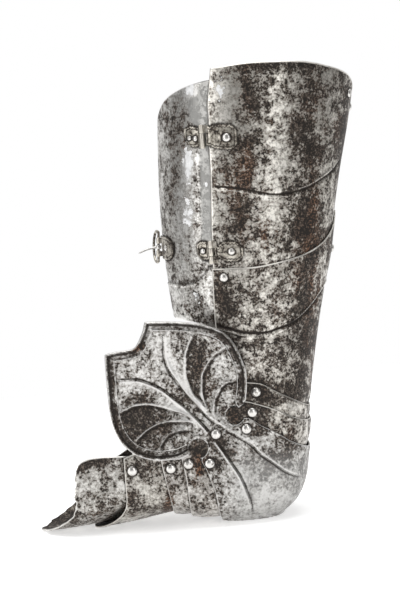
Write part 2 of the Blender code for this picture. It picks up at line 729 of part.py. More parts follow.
# Shin plates: gutters whose keel drops away from the knee.
SHIN_ROWS = (
    # top, start of the rounding, keel, half width, late, inner drop
    ((-64, 74), (-64, 49), (-59, 9.4), WIDTH_SHIN, 1.0, 0),
    ((-70, 74), (-71, 48), (-70, 7.2), WIDTH_SHIN, 1.0, 0),
    ((-82, 73), (-84, 43), (-86, 3.4), WIDTH_SHIN, 1.0, 4),
    ((-96, 72.5), (-98, 36), (-104, -1.2), WIDTH_SHIN, 1.1, 9),
    ((-108, 72.5), (-109, 31), (-124, -5.2), WIDTH_SHIN - 0.2, 1.6, 13),
    ((-120, 68), (-117, 28), (-151, -10.0), WIDTH_SHIN - 0.4, 2.6, 14),
)
cuts.append(plate("shin_plate", [gutter_grid(SHIN_ROWS)], "shin", PLATE, middle=(-100, 0, 90)))
GREAVE_ROWS = (
    ((-100, 70.5), (-101, 44), (-104, 2.8), WIDTH_GREAVE, 1.0, 9),
    ((-116, 70.0), (-117, 40), (-124, -1.2), WIDTH_GREAVE, 1.2, 9),
    ((-132, 69.5), (-133, 34), (-148, -5.4), WIDTH_GREAVE - 0.5, 1.6, 17),
    ((-150, 68), (-150, 26), (-171, -9.2), WIDTH_GREAVE - 1.5, 2.0, 19),
    ((-161, 64), (-161, 25), (-190, -12.0), WIDTH_GREAVE - 2.5, 2.4, 19),
    ((-170, 54), (-169, 24), (-207, -14.0), WIDTH_GREAVE - 3.0, 2.8, 16),
)
cuts.append(plate("greave_plate", [gutter_grid(GREAVE_ROWS)], "greave", PLATE, middle=(-140, 0, 90)))

# Pivot rivets of the knee, outer and inner.
pivot_pair("cuisse", PIVOT_CUISSE, WIDTH_A, "lame_a", 2 * PLATE + GAP)
pivot_pair("lame_a", PIVOT_A, WIDTH_B, "lame_b", 2 * PLATE + GAP)
pivot_pair("lame_b", PIVOT_B, WIDTH_POLEYN, "poleyn", KNEE_PLATE + PLATE + GAP)
pivot_pair("lame_c", PIVOT_C, WIDTH_POLEYN, "poleyn", KNEE_PLATE + PLATE + GAP)
pivot_pair("lame_d", PIVOT_D, WIDTH_C, "lame_c", 2 * PLATE + GAP)
pivot_pair("shin", PIVOT_SHIN, WIDTH_D, "lame_d", 2 * PLATE + GAP)
pivot_pair("greave", PIVOT_GREAVE, WIDTH_SHIN, "shin", 2 * PLATE + GAP)
rivet("wing_strap_rivet", (NECK[0], -WIDTH_POLEYN, NECK[1]), (0, -1, 0), "poleyn", through=KNEE_PLATE)

# Rivets of the thigh plates: angle, height, head radius, depth of their face, grip.
THIGH_RIVETS = (
    ("plate_rivet_outer", 105.5, 247.0, 4.2, 0.0, 2 * PLATE + GAP + FIT),
    ("plate_rivet_front", 1.0, 271.0, 4.0, 0.0, 2 * PLATE + GAP + FIT),
    ("top_rivet_outer", 17.0, 425.0, 4.2, LAYER, PLATE + FIT),
    ("top_rivet_front", -4.0, 411.0, 4.2, LAYER, PLATE + FIT),
)
for rivet_name, angle, height, head, inward, through in THIGH_RIVETS:
    spot = on_thigh(angle, height, -inward)
    normal = thigh_normal(angle, height)
    rivet(rivet_name, spot, normal, "cuisse", head=head, through=through)
    hole(spot, normal)

# Hinges: outlines as distance from the axis, half height, rise.
UPPER_FRONT = (
    (3.4, 9.0, 0.5), (6.5, 8.0, 0.0), (10, 10.0, 0.0), (20, 10.5, -0.5), (26, 8.0, -0.5),
    (29, 3.5, -0.5),
)
UPPER_BACK = ((3.4, 7.5, -1.0), (8, 8.5, -1.0), (13, 9.0, -1.0), (16, 6.0, 0.0), (19.5, 2.0, 1.5))
hinge("upper_hinge", 383.5, [(386.5, 394.5)], [(372.0, 386.0)], UPPER_FRONT, UPPER_BACK)
LOWER_FRONT = (
    (3.4, 7.5, 0.0), (6.5, 5.5, 0.5), (8.5, 7.5, 1.5), (12, 9.8, 1.5), (20, 9.8, 1.5), (25, 6.0, 1.5),
    (27, 2.5, 1.5),
)
LOWER_BACK = ((3.4, 9.0, 1.5), (8, 9.0, 1.5), (12, 7.5, 1.5), (14.5, 3.0, 1.5))
hinge("lower_hinge", 271.0, [(260.5, 267.5), (275.5, 282.5)], [(268.0, 275.0)], LOWER_FRONT, LOWER_BACK)

# Hinge rivets: distance from the axis (+ forward), height, head radius.
HINGE_RIVETS = (
    ("upper_hinge_front_rivet", 20.5, 382.5, 4.0),
    ("upper_hinge_back_rivet_near", -8.0, 381.0, 2.5),
    ("upper_hinge_back_rivet_far", -14.0, 381.5, 2.2),
    ("lower_hinge_front_rivet", 17.0, 272.5, 3.2),
    ("lower_hinge_back_rivet", -8.5, 272.0, 2.6),
)
for rivet_name, away, height, head in HINGE_RIVETS:
    side = 1 if away > 0 else -1
    held_by = "cuisse" if away > 0 else "side_plate"
    outline = ((abs(away), 0, height), (abs(away) + 1, 0, height), (abs(away), 0, height + 2))
    inward = LAYER if away > 0 else 2 * LAYER
    spot, turned, raised = (row[0] for row in leaf_grid(outline, side, LEAF_LIFT, inward))
    normal = (turned - spot).cross(raised - spot).normalized()
    if normal.y > 0:
        normal = -normal
    rivet(rivet_name, spot, normal, held_by, head=head, shank=1.3, through=LEAF_LIFT + PLATE + FIT)
    hole(spot, normal, radius=1.7)

# Buckle: a half-round plate on the side plate, its frame and its tongue on one upright bar.
BUCKLE_ROWS = ((149.5, 3.0), (153.0, 8.5), (159.0, 11.2), (168.0, 11.6), (177.5, 11.6))
buckle_grid = []
for angle, half in BUCKLE_ROWS:
    line = []
    for share in (-1.0, -0.5, 0.0, 0.5, 1.0):
        line.append(on_thigh(angle, BUCKLE_HEIGHT + half * share, LEAF_LIFT - 2 * LAYER))
    buckle_grid.append(line)
behind_it = (0, 0, BUCKLE_HEIGHT)
buckle_plate = plate("buckle_plate", [buckle_grid], "side_plate", LEAF, finish=DARK, middle=behind_it)
for index, (low, high) in enumerate(((262.5, 268.5), (275.5, 281.5))):
    loop = helper(f"buckle_loop_{index}", cylinder_mesh(2.3, buckle_bar(low), buckle_bar(high), FINGER))
    boolean(buckle_plate, loop, "UNION")
    middle = (low + high) / 2
    reach = on_thigh(175.5, middle, FIT + LEAF / 2 - 2 * LAYER)
    neck = bar_mesh(buckle_bar(middle), reach, Vector((0, 0, 1)), high - low - 1.0, LEAF)
    boolean(buckle_plate, helper(f"buckle_neck_{index}", neck), "UNION")
bore = cylinder_mesh(WIRE + FIT, buckle_bar(258), buckle_bar(286), FINGER)
boolean(buckle_plate, helper("buckle_bore", bore))
cuts.append(buckle_plate)

# The frame is a D of wire round the back of the thigh; its straight side is the bar.
behind = Vector((-0.28, 0.96, 0)).normalized()
frame_points = [buckle_bar(256.5), buckle_bar(287.5)]
for step in range(9):
    turn = math.radians(80 - 160 * step / 8)
    out = 5.0 + 13.0 * math.cos(turn)
    frame_points.append(buckle_bar(BUCKLE_HEIGHT + 15.8 * math.sin(turn)) + behind * out)
wire("buckle_frame", frame_points, WIRE, "buckle_frame")

# The tongue: a ring round the bar between the loops, and a pointed wire that hangs back.
ring_mesh = cylinder_mesh(2.9, buckle_bar(270.3), buckle_bar(273.7), FINGER)
tongue = make_object("buckle_tongue", ring_mesh, "buckle_tongue", BRIGHT)
shaft = Vector((-20.0, -1.5, -6.5))
shaft_mesh = cylinder_mesh(1.25, buckle_bar(272) + shaft * 0.1, buckle_bar(272) + shaft, 8, tip=0.7)
boolean(tongue, helper("tongue_shaft", shaft_mesh), "UNION")
bore = cylinder_mesh(WIRE + FIT, buckle_bar(266), buckle_bar(278), FINGER)
boolean(tongue, helper("tongue_bore", bore))

buckle_spot = on_thigh(161.0, BUCKLE_HEIGHT + 0.5, LEAF_LIFT - 2 * LAYER)
buckle_normal = thigh_normal(161.0, BUCKLE_HEIGHT)
grip = LEAF_LIFT + PLATE + FIT
rivet("buckle_rivet", buckle_spot, buckle_normal, "side_plate", head=2.8, shank=1.3, through=grip)
hole(buckle_spot, buckle_normal, radius=1.7)

# All rivet holes are one cutter, and the poleyn's two round notches another.
holes_work = bmesh.new()
for mesh in hole_meshes:
    holes_work.from_mesh(mesh)
    bpy.data.meshes.remove(mesh)
holes_mesh = bpy.data.meshes.new("rivet_holes")
holes_work.to_mesh(holes_mesh)
holes_work.free()
rivet_holes = helper("rivet_holes", holes_mesh)
for piece in cuts:
    boolean(piece, rivet_holes)
for index, (centre, radius) in enumerate(NOTCHES):
    low = (centre[0], -WIDTH_POLEYN - 25, centre[1])
    high = (centre[0], -WIDTH_POLEYN + 6, centre[1])
    boolean(poleyn, helper(f"notch_{index}", cylinder_mesh(radius, low, high, 24)))
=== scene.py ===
# %% [markdown]
# # A gothic leg harness in worn steel
#
# The real object is plate armour for a right thigh and knee, hammered from sheet steel about 1.3 mm
# thick and joined with rivets that let the plates slide. It stands on its bent knee.
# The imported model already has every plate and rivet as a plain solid. This lesson dresses it: each
# plate is drawn again as a fine surface with its grooves, flutes and raised borders, and gets a steel
# that is stained, pitted and polished at its edges.
# We could carve the solids with sculpting tools, but formulas can be read, changed and run again,
# so every surface here is a function of two parameters.

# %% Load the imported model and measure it
import math

import bpy
import numpy as np
from mathutils import Matrix, Vector


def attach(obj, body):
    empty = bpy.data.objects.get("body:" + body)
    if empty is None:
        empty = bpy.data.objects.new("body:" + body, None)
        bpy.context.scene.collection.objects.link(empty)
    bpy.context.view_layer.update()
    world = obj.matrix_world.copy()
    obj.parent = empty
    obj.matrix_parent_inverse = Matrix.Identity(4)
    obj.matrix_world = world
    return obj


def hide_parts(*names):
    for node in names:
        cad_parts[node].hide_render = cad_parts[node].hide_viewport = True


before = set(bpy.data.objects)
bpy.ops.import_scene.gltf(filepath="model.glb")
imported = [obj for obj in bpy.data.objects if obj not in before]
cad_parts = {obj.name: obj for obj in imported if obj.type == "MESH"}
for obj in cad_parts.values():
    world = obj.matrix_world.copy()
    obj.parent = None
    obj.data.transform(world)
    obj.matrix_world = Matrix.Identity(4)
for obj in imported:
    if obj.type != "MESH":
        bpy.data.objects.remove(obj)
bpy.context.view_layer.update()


# %% [markdown]
# ## The leg's own frame
#
# A plate is easiest to describe with the thigh upright: x to the front of the thigh, y to the inner
# side of the leg, z up, in millimetres. The harness then leans a little forward onto the flat of its
# knee. One function carries points from that frame to the scene, so every formula below can forget
# the lean.

# %% Carry points from the leg's frame to the scene
LEAN = math.radians(4.8)
REST_POINT = np.array((5.0, 0.0, 2.6))
LEAN_TURN = np.array(
    ((math.cos(LEAN), 0, math.sin(LEAN)), (0, 1, 0), (-math.sin(LEAN), 0, math.cos(LEAN)))
)
UP = LEAN_TURN[2]
OTHER_SIDE = np.array((1, -1, 1))  # times a point of the outer side: the same on the inner side


def to_scene(points):
    """Scene place = the lean's turn times (leg place - resting point), in metres."""
    return (np.asarray(points, float) - REST_POINT) @ LEAN_TURN.T / 1000


print("The knee's pivot in the scene:", to_scene((9.6, 0, 134.1)).round(4))

# %% [markdown]
# ## Reading a shape from a few sizes
#
# An armourer works from a few measures: the girth here, the edge's height there, and a fair curve
# between. A straight line between two measures would leave a crease that polished steel shows at once.
# So the tables are read with a smooth curve that passes through each row and never swings past it.

# %% Smooth reading of a table
def smooth(table, at, column=1):
    """A cubic between two rows; a row's slope is the harmonic mean of the slopes beside it."""
    place = np.array([row[0] for row in table], float)
    value = np.array([row[column] for row in table], float)
    step = np.diff(place)
    slope = np.diff(value) / step
    lean = np.zeros(len(place))
    lean[0], lean[-1] = slope[0], slope[-1]
    agree = slope[:-1] * slope[1:] > 0
    total = np.where(agree, slope[:-1] + slope[1:], 1.0)
    lean[1:-1] = np.where(agree, 2 * slope[:-1] * slope[1:] / total, 0.0)
    at = np.clip(np.asarray(at, float), place[0], place[-1])
    index = np.clip(np.searchsorted(place, at, side="right") - 1, 0, len(place) - 2)
    t = (at - place[index]) / step[index]
    rise = (3 - 2 * t) * t * t
    bend = t * (1 - t) * step[index] * (lean[index] * (1 - t) - lean[index + 1] * t)
    return value[index] + (value[index + 1] - value[index]) * rise + bend


print("Half way through (0, 0), (1, 1), (2, 0):", smooth(((0, 0), (1, 1), (2, 0)), 0.5))

# %% Easing, fair lines and steps
def ease(low, high, at):
    """0 below low, 1 above high, and 3s^2 - 2s^3 of the share s between."""
    share = np.clip((np.asarray(at, float) - low) / (high - low), 0, 1)
    return share * share * (3 - 2 * share)


def fair_line(points, count):
    """Each coordinate of the points is read smoothly against the length along their line."""
    points = np.asarray(points, float)
    run = np.concatenate([[0], np.cumsum(np.linalg.norm(np.diff(points, axis=0), axis=1))])
    at = np.linspace(0, run[-1], count)
    return np.stack([smooth(np.stack([run, points[:, axis]], 1), at) for axis in (0, 1)], 1)


def spaced(count, crowd, middle=0.0):
    """Steps from 0 to 1, closest at the middle share: t - crowd sin(2 pi (t - middle)) / 2 pi."""
    t = np.linspace(0, 1, count)
    steps = t - crowd * np.sin(2 * np.pi * (t - middle)) / (2 * np.pi)
    return steps - steps[0]


print("Five steps that crowd at both ends:", spaced(5, 0.6).round(3))

# %% [markdown]
# ## From a grid of points to a mesh
#
# A surface worked out on a grid is only points until faces join them. Grids that share an edge are
# welded there, which also closes the pole of a dome and the seam of a tube.
# Doing this on whole arrays keeps it quick: no step below visits the points one by one.

# %% Weld grids into one surface
def weld(grids):
    """Every square of the grids is cut into two triangles, and points that are equal become one."""
    points, corners, start = [], [], 0
    for grid in grids:
        rows, columns = grid.shape[:2]
        a = start + (np.arange(rows - 1)[:, None] * columns + np.arange(columns - 1)).ravel()
        b, c, d = a + 1, a + columns + 1, a + columns
        corners += [np.stack([a, b, c], 1), np.stack([a, c, d], 1)]
        points.append(grid.reshape(rows * columns, -1))
        start += rows * columns
    points, corners = np.concatenate(points), np.concatenate(corners)
    _, first, back = np.unique(
        np.round(points, 3), axis=0, return_index=True, return_inverse=True
    )
    corners = back.ravel()[corners]
    whole = (corners != np.roll(corners, 1, axis=1)).all(axis=1)
    return points[first], corners[whole]


def sides(points, faces):
    """Each face's middle, and its area normal: the cross product of two of its sides."""
    a, b, c = (points[faces[:, corner]] for corner in range(3))
    return (a + b + c) / 3, np.cross(b - a, c - a)


def away_from(middle, points, faces):
    """The same faces, turned round if more of their area faces the middle than away from it."""
    centres, across = sides(points, faces)
    outward = (across * (centres - np.asarray(middle, float))).sum()
    return faces if outward > 0 else faces[:, ::-1]


def point_normals(points, faces):
    """At each point, the sum of its faces' area normals, made one long."""
    across = sides(points, faces)[1]
    total = np.zeros((len(points), 3))
    for corner in range(3):
        for axis in range(3):
            total[:, axis] += np.bincount(faces[:, corner], across[:, axis], len(points))
    return total / np.maximum(np.linalg.norm(total, axis=1, keepdims=True), 1e-12)


square = np.dstack([*np.meshgrid((0.0, 1.0), (0.0, 1.0)), np.zeros((2, 2))])
print("Two squares welded:", [part.shape for part in weld([square, square + (1, 0, 0)])])

# %% [markdown]
# ## Edges and holes
#
# Wear starts at the edges of a plate, so each point must know how far off the nearest edge is. An edge
# is found without any list: it is where a triangle's side has no neighbour. Round notches are cut by
# dropping the faces inside a circle and drawing their neighbours' points out to it, which leaves a
# truer circle than a boolean cut and is quicker.

# %% Open edges, distances and round cuts
def rim_points(faces):
    """The points on the surface's open edge: ends of the edges that only one face has."""
    ends = np.sort(np.concatenate([faces[:, pair] for pair in ([0, 1], [1, 2], [2, 0])]), axis=1)
    edges, count = np.unique(ends, axis=0, return_counts=True)
    return np.unique(edges[count == 1])


MARK_REACH = 12.0  # farther off than this, no mark changes any more


def nearest(points, others, reach=MARK_REACH):
    """Distance of every point to the nearest of some other points, up to the reach."""
    found = []
    for block in np.array_split(points, max(1, len(points) // 3000)):
        squares = ((block[:, None] - others[None]) ** 2).sum(2)
        found.append(np.minimum(np.sqrt(squares).min(1), reach))
    return np.concatenate(found)


def round_cut(points, faces, centre, radius):
    """A round hole in the outer side: faces inside go, and points left inside move to its edge."""
    offset = points[:, [0, 2]] - np.asarray(centre, float)
    reach = np.hypot(offset[:, 0], offset[:, 1])
    inside = (reach < radius) & (points[:, 1] < 0)
    faces = faces[~inside[faces].all(axis=1)]
    used = np.zeros(len(points), bool)
    used[faces] = True
    move = inside & used
    drawn = points.copy()
    drawn[move, ::2] = centre + offset[move] / reach[move, None] * radius
    return drawn[used], (np.cumsum(used) - 1)[faces]


print("Points on the rim of one square:", len(rim_points(weld([square])[1])))

# %% [markdown]
# ## Lines that are hammered into the plates
#
# Gothic plates are stiffened with grooves, steps and fan-like flutes, driven in with a chisel-like
# hammer. Each is a line in the side view with a cross-section: how high the steel stands at a distance
# from the line. The distance is signed, so one side of a flute can be steep and the other gentle.

# %% Signed distance from a line, and the cross-sections
def from_line(points, line):
    """Distance to a line in the side view, + to the left of its run; and the share along it."""
    line = np.asarray(line, float)
    start, run = line[:-1], np.diff(line, axis=0)
    size = (run**2).sum(1)
    distance, share = [], []
    for block in np.array_split(points[:, [0, 2]], max(1, len(points) // 4000)):
        offset = block[:, None] - start[None]
        t = np.clip((offset * run).sum(2) / size, 0, 1)
        gap = offset - t[..., None] * run
        length = np.hypot(gap[..., 0], gap[..., 1])
        closest = length.argmin(1)
        pick = np.arange(len(block)), closest
        side = run[closest, 0] * offset[pick][:, 1] - run[closest, 1] * offset[pick][:, 0]
        distance.append(length[pick] * np.sign(side))
        share.append((closest + t[pick]) / len(run))
    return np.concatenate(distance), np.concatenate(share)


def faded(share, start, end):
    """1 along a line and easing to 0 over the given shares at its ends."""
    return ease(0, start, share) * (1 - ease(1 - end, 1, share))


def ridge(distance, height, left, right):
    """A crest on the line: height times e to the -|d| / width, with a width for each side."""
    return height * np.exp(-np.abs(distance) / np.where(distance > 0, left, right))


def bead(distance, height, width, centre=0.0):
    """A round bead beside the line: height times e to the -((d - centre) / width) squared."""
    return height * np.exp(-(((distance - centre) / width) ** 2))


def toward(way):
    """The unit step in the side view at an angle in degrees from forward."""
    return np.stack([np.cos(np.radians(way)), np.sin(np.radians(way))], -1)


def way_of(offset):
    """The angle in degrees of a step in the side view."""
    return np.degrees(np.arctan2(offset[..., 1], offset[..., 0]))


def stand(flat, y):
    """Places (forward, up) of the side view become points (forward, y, up)."""
    return np.stack([flat[..., 0], np.broadcast_to(y, flat.shape[:-1]), flat[..., 1]], -1)


print("A crest of 1.5 mm, 2 mm to its steep and its gentle side:",
      [round(float(ridge(d, 1.5, 4.5, 1.3)), 2) for d in (-2, 2)])

# %% [markdown]
# ## From points to a piece of steel
#
# Blender takes a mesh fastest as flat arrays, through foreach_set. A plate is drawn once, as its outer
# face, and the Solidify modifier gives it the wall inward, so both faces always keep the sheet's
# thickness. Rivets and fittings are closed shells and need none. Every piece then rides on a body of
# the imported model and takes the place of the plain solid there.

# %% Put a surface into the scene
made, surfaces, spots = {}, {}, []
SHARP_CORNER = math.radians(50)


def put_in_scene(name, data):
    """An object for some data, linked to the scene's own collection."""
    thing = bpy.data.objects.new(name, data)
    bpy.context.scene.collection.objects.link(thing)
    return thing


def add_mark(mesh, mark, values):
    """Keeps one number for each point under a name that the steels can read."""
    layer = mesh.attributes.new(mark, "FLOAT", "POINT")
    values = np.broadcast_to(values, len(mesh.vertices))
    layer.data.foreach_set("value", values.astype(np.float32))


def steel_piece(name, points, faces, body, node, marks=(), wall=0.0):
    """A mesh from arrays, with a wall inward or sharp corners, that rides in its node's place."""
    mesh = bpy.data.meshes.new(name)
    mesh.vertices.add(len(points))
    mesh.vertices.foreach_set("co", to_scene(points).astype(np.float32).ravel())
    mesh.loops.add(3 * len(faces))
    mesh.loops.foreach_set("vertex_index", faces.astype(np.int32).ravel())
    mesh.polygons.add(len(faces))
    mesh.polygons.foreach_set("loop_start", np.arange(0, 3 * len(faces), 3, dtype=np.int32))
    mesh.update(calc_edges=True)
    for mark, values in dict(marks).items():
        add_mark(mesh, mark, values)
    mesh.shade_smooth()
    piece = put_in_scene(name, mesh)
    if wall:
        skin = piece.modifiers.new("wall", "SOLIDIFY")
        skin.thickness = wall / 1000
        skin.offset = -1
        skin.use_rim = True
        skin.material_offset = 1
    else:
        mesh.set_sharp_from_angle(angle=SHARP_CORNER)
    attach(piece, body)
    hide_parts(node)
    made[name] = piece
    print(f"{name}: {len(points)} points, {len(faces)} triangles, rides on {body}")


# %% [markdown]
# ## The measures of the thigh and the knee
#
# The tables are the harness's own measures, the same ones that the solids were made from: the limbs of
# the thigh at each height, the edges that run round it, and the pivots of the sliding plates.

# %% Measures
PLATE, KNEE_PLATE = 1.3, 1.5  # sheet
LAYER, FIT = 1.9, 0.3  # from one plate's face to the next one's, and the play of rivets and fittings
THIGH = (
    (134.1, 66.6, -49.0, 57.0), (147.0, 67.8, -54.8, 57.0), (180.0, 71.6, -69.5, 63.0),
    (227.0, 78.4, -79.2, 69.0), (267.0, 85.8, -84.6, 72.5), (310.0, 90.6, -88.5, 76.0),
    (346.0, 95.2, -90.2, 79.0), (395.0, 103.1, -91.0, 82.0), (428.0, 107.5, -90.4, 84.0),
    (460.0, 111.0, -89.4, 85.5),
)  # height, front, back, half width
OUTER_EDGE = (
    (143, 108), (155, 109), (175, 112.5), (200, 114), (267, 113.8), (332, 114), (399, 117),
    (460, 116),
)  # height, angle from the front
INNER_EDGE = ((143, 106), (155, 104), (175, 103), (460, 102))
PIVOTS = {
    "cuisse": (9.6, 134.1), "lame_a": (6.0, 114.3), "lame_b": (0.5, 98.4), "neck": (-29.5, 93.1),
    "lame_c": (-35.4, 64.2), "lame_d": (-56.2, 63.3), "shin": (-73.5, 58.5),
    "greave": (-111.4, 55.8),
}
WIDTHS = {
    "lame_a": 58.9, "lame_b": 60.8, "poleyn": 62.9, "lame_c": 60.8, "lame_d": 58.9, "shin": 57.0,
}  # half widths
ROUNDING = 2.5
print("Thigh from back to front at its top:", THIGH[-1][1] - THIGH[-1][2], "mm")

# %% The thigh's outer face
SQUARE_BELOW, OVAL_ABOVE, FLAT_SIDE = 146, 200, 10.0


def side_share(reach, flat, front):
    """The root of 1 - s^2.5, s being the share of the way from the flat side's end to the front."""
    share = np.clip((reach - flat) / (front - flat), 0, 1)
    return np.sqrt(np.maximum(1 - share**ROUNDING, 0))


def thigh(angle, height, inward=0.0):
    """An oval of two half axes, that turns squarer at the knee's pivots."""
    front = smooth(THIGH, height, 1) - inward
    back = smooth(THIGH, height, 2) + inward
    width = smooth(THIGH, height, 3) - inward
    turn = np.radians(angle)
    forward = (front + back) / 2 + (front - back) / 2 * np.cos(turn)
    oval = width * np.abs(np.sin(turn))
    pivot = PIVOTS["cuisse"][0]
    square = width * side_share(np.maximum(forward - pivot, 0), FLAT_SIDE, front - pivot)
    side = oval + (square - oval) * (1 - ease(SQUARE_BELOW, OVAL_ABOVE, height))
    return np.stack(np.broadcast_arrays(forward, -np.sign(np.sin(turn)) * side, height), -1)


def thigh_normal(angle, height):
    """The outward direction: the cross product of a step round the thigh and a step up it."""
    across = thigh(angle + 1.0, height) - thigh(angle - 1.0, height)
    along = thigh(angle, height + 2.0) - thigh(angle, height - 2.0)
    normal = -np.cross(across, along)
    return normal / np.linalg.norm(normal, axis=-1, keepdims=True)


def on_thigh(angle, height, lift):
    """The face's point and its normal times the lift."""
    return thigh(angle, height) + thigh_normal(angle, height) * np.asarray(lift, float)[..., None]


print("Thigh at 300 mm, outer side:", thigh(90.0, 300.0).round(1))

# %% [markdown]
# ## Stains, wear and painted light and shade, kept as marks on the surface
#
# Old steel is not evenly brown: it is darkest where damp stayed, in the laps, round the rivets and in
# broad clouds, and bright where it was handled or scoured. The same marks also paint light and shade:
# the laps, the rings round the rivets and the hollows are darkened partly as painted shade, edges and
# crests are brightened partly as painted highlight, some clouds are painted shading, and white patches
# are painted highlight. Each point of a plate keeps its own marks: how near the edge it is, how deep in
# a hollow, how proud on a crest, how stained or shaded, how rusty, how much white painted highlight it
# has, and how evenly its skin was scoured.
# A painted image could say the same, but marks on the points travel with the mesh and need no file.

# %% Broad stains and painted shading by place: forward, up, half sizes, and how much darker (+) or brighter (-)
# Besides real stains, some clouds are painted shade and painted highlight: they darken or lighten the
# wing and the thigh where light falls less or more on them, and darken the plates seen through the
# knee's two round notches.
STAINS_AND_SHADING = (
    (-22, 414, 13, 30, -0.62), (-1, 392, 10, 62, 0.6), (-14, 352, 16, 14, 0.6), (-20, 362, 9, 9, -0.2),
    (24, 380, 16, 60, -0.3), (58, 372, 15, 80, 0.75), (60, 290, 12, 40, 0.6), (96, 370, 9, 70, 0.85),
    (45, 452, 60, 6, 0.9), (-14, 252, 16, 5, -0.9), (-36, 230, 4, 30, -0.6), (-20, 222, 11, 17, 1.1),
    (18, 224, 23, 28, -0.5), (60, 215, 12, 70, 0.75), (88, 240, 8, 50, 0.1), (54, 236, 14, 22, -0.2),
    (-9, 312, 12, 32, 0.9), (-58, 428, 8, 12, -0.3), (-57, 350, 9, 40, -0.2), (-58, 224, 10, 14, -0.2),
    (-76, 390, 8, 30, 0.35), (-74, 300, 10, 60, 0.4), (20, 190, 22, 14, -0.1), (12, 136, 16, 12, 0.9),
    (5, 175, 12, 10, 0.5), (-55, 62, 24, 11, 0.55), (-44, 57, 6, 16, 0.4), (22, 128, 16, 9, 0.9),
    (14, 100, 10, 8, 0.8), (40, 82, 8, 20, 0.6), (22, 60, 12, 14, 0.45), (-82, 165, 20, 26, -0.6),
    (-46, 158, 12, 28, 1.15), (-108, 108, 22, 22, 1.35), (-72, 100, 18, 10, 0.4), (28, 28, 22, 18, -0.7),
    (-14, 30, 12, 20, -0.2), (-118, 40, 14, 24, -0.1), (-150, 50, 16, 14, 0.1), (-11, 112, 7, 7, 1.6),
    (-47, 79, 7, 7, 1.6), (-150, 38, 18, 12, -0.2), (-98, 60, 13, 12, 0.4), (-76, 22, 4.5, 13, 1.3),
    (-107, 179, 6, 4, 1.0), (-162, 62, 8, 9, 1.6), (-142, 66, 16, 6, 1.3), (-96, 42, 15, 13, -0.5),
    (-24, 60, 14, 25, 0.4),
)
# White patches of painted highlight, standing in for bright reflections on the steel: forward, up, half
# sizes, strength.
GLARE_PATCHES = (
    (-55, 427, 8, 10, 0.8), (-57, 355, 7.5, 24, 0.9), (-56, 306, 8.5, 18, 0.8), (-50, 224, 9, 14, 0.6),
    (-39, 337, 2.2, 4, 1.6), (-26, 428, 10, 15, 0.62), (-24, 396, 7, 10, 0.45),
)
RUSTS = (
    (-76, 20, 5, 13, 1.0), (-46, 60, 5, 15, 1.0), (-107, 179, 7, 4, 1.0), (14, 305, 60, 50, 0.35),
    (63, 260, 12, 90, 0.5), (-2, 350, 12, 60, 0.45),
)


def bells(points, table):
    """For each row of a table: amount times e to the minus squared distance over the half sizes."""
    forward, up, wide, tall, amount = np.array(table, float).T[..., None]
    return amount * np.exp(
        -(((points[:, 0] - forward) / wide) ** 2) - ((points[:, 2] - up) / tall) ** 2
    )


print(len(STAINS_AND_SHADING), "stains,", len(GLARE_PATCHES), "flaked places and", len(RUSTS), "rusty ones")

# %% Hammer the relief into a surface, and mark its wear and its painted light and shade
ABOVE_FLOOR = 0.02
DIP_WIDE = 1.2  # how far in from the border the plate is rounded off


def worked(
    name, grids, middle, body, node, relief=(), wall=PLATE, cuts=(), edge_dip=0.35,
    bright_edge=0.9, crests=lambda points: 1.0, satin=lambda points: 0.0,
):
    """The welded grids plus normal times (relief - dip at the border), and the marks of the wear and of
    painted light and shade.
    """
    points, faces = weld(grids)
    faces = away_from(middle, points, faces)
    for centre, radius in cuts:
        points, faces = round_cut(points, faces, centre, radius)
    edge = nearest(points, points[rim_points(faces)])
    height = sum((shape(points, edge) for shape in relief), np.zeros(len(points)))
    dip = edge_dip * (1 - ease(0, DIP_WIDE, edge))
    raised = points + point_normals(points, faces) * (height - dip)[:, None]
    raised += UP * np.maximum(ABOVE_FLOOR - (raised - REST_POINT) @ UP, 0)[:, None]
    surfaces[name] = (raised, faces)
    # The edge and crest marks brighten the steel, partly for polish and partly as painted highlight; the
    # hollow mark darkens it, partly for damp and partly as painted shade.
    marks = {
        "edge": np.exp(-edge / bright_edge),
        "hollow": np.clip(-height / 0.6, 0, 1.5),
        "crest": np.clip((height - 0.35) / 0.7, 0, 1.4) * crests(points),
        "stain_and_shading": bells(points, STAINS_AND_SHADING).sum(0),
        "rust": bells(points, RUSTS).max(0),
        "satin": satin(points),
        "glare_patch": bells(points, GLARE_PATCHES).sum(0),
    }
    steel_piece(name, raised, faces, body, node, marks, wall)


print("A border is rounded off over", DIP_WIDE, "mm, and no plate goes below", ABOVE_FLOOR, "mm")

# %% [markdown]
# ## Thigh plates
#
# The thigh is covered by three plates: the upper and the lower front plate, riveted together, and a
# side plate that swings on two hinges. The lower plate lies over the upper one with a pointed edge.
# Each is a sheet between two edges by height and two by angle, so its grid is even in both. The rows
# lie closest where the plate's groove runs, because a groove 2 mm wide needs several rows to be round.

# %% Upper plate
UPPER_TOP = (
    (-96, 398), (-60, 404), (-30, 414), (0, 428), (12, 436), (28, 445), (45, 451), (68, 456),
    (90, 455), (118, 448),
)  # angle from the front, + to the outer side, and height
UPPER_FOOT = (
    (-96, 238), (-66, 249), (-20, 262), (20, 262), (47, 257), (66, 249), (90, 243), (118, 240),
)
UPPER_GROOVE = fair_line(
    ((-34, 335), (-22, 334), (-7, 333), (12, 329), (28, 327), (44, 329), (59, 333), (72, 340),
     (84, 348), (95, 361)), 60
)
LOWER_GROOVE = fair_line(
    ((-30, 199), (-17, 196), (1, 192), (17, 192), (32, 196), (48, 202), (65, 216), (74, 227),
     (84, 240)), 60
)
BEHIND_THIGH = (0, 0, 300)


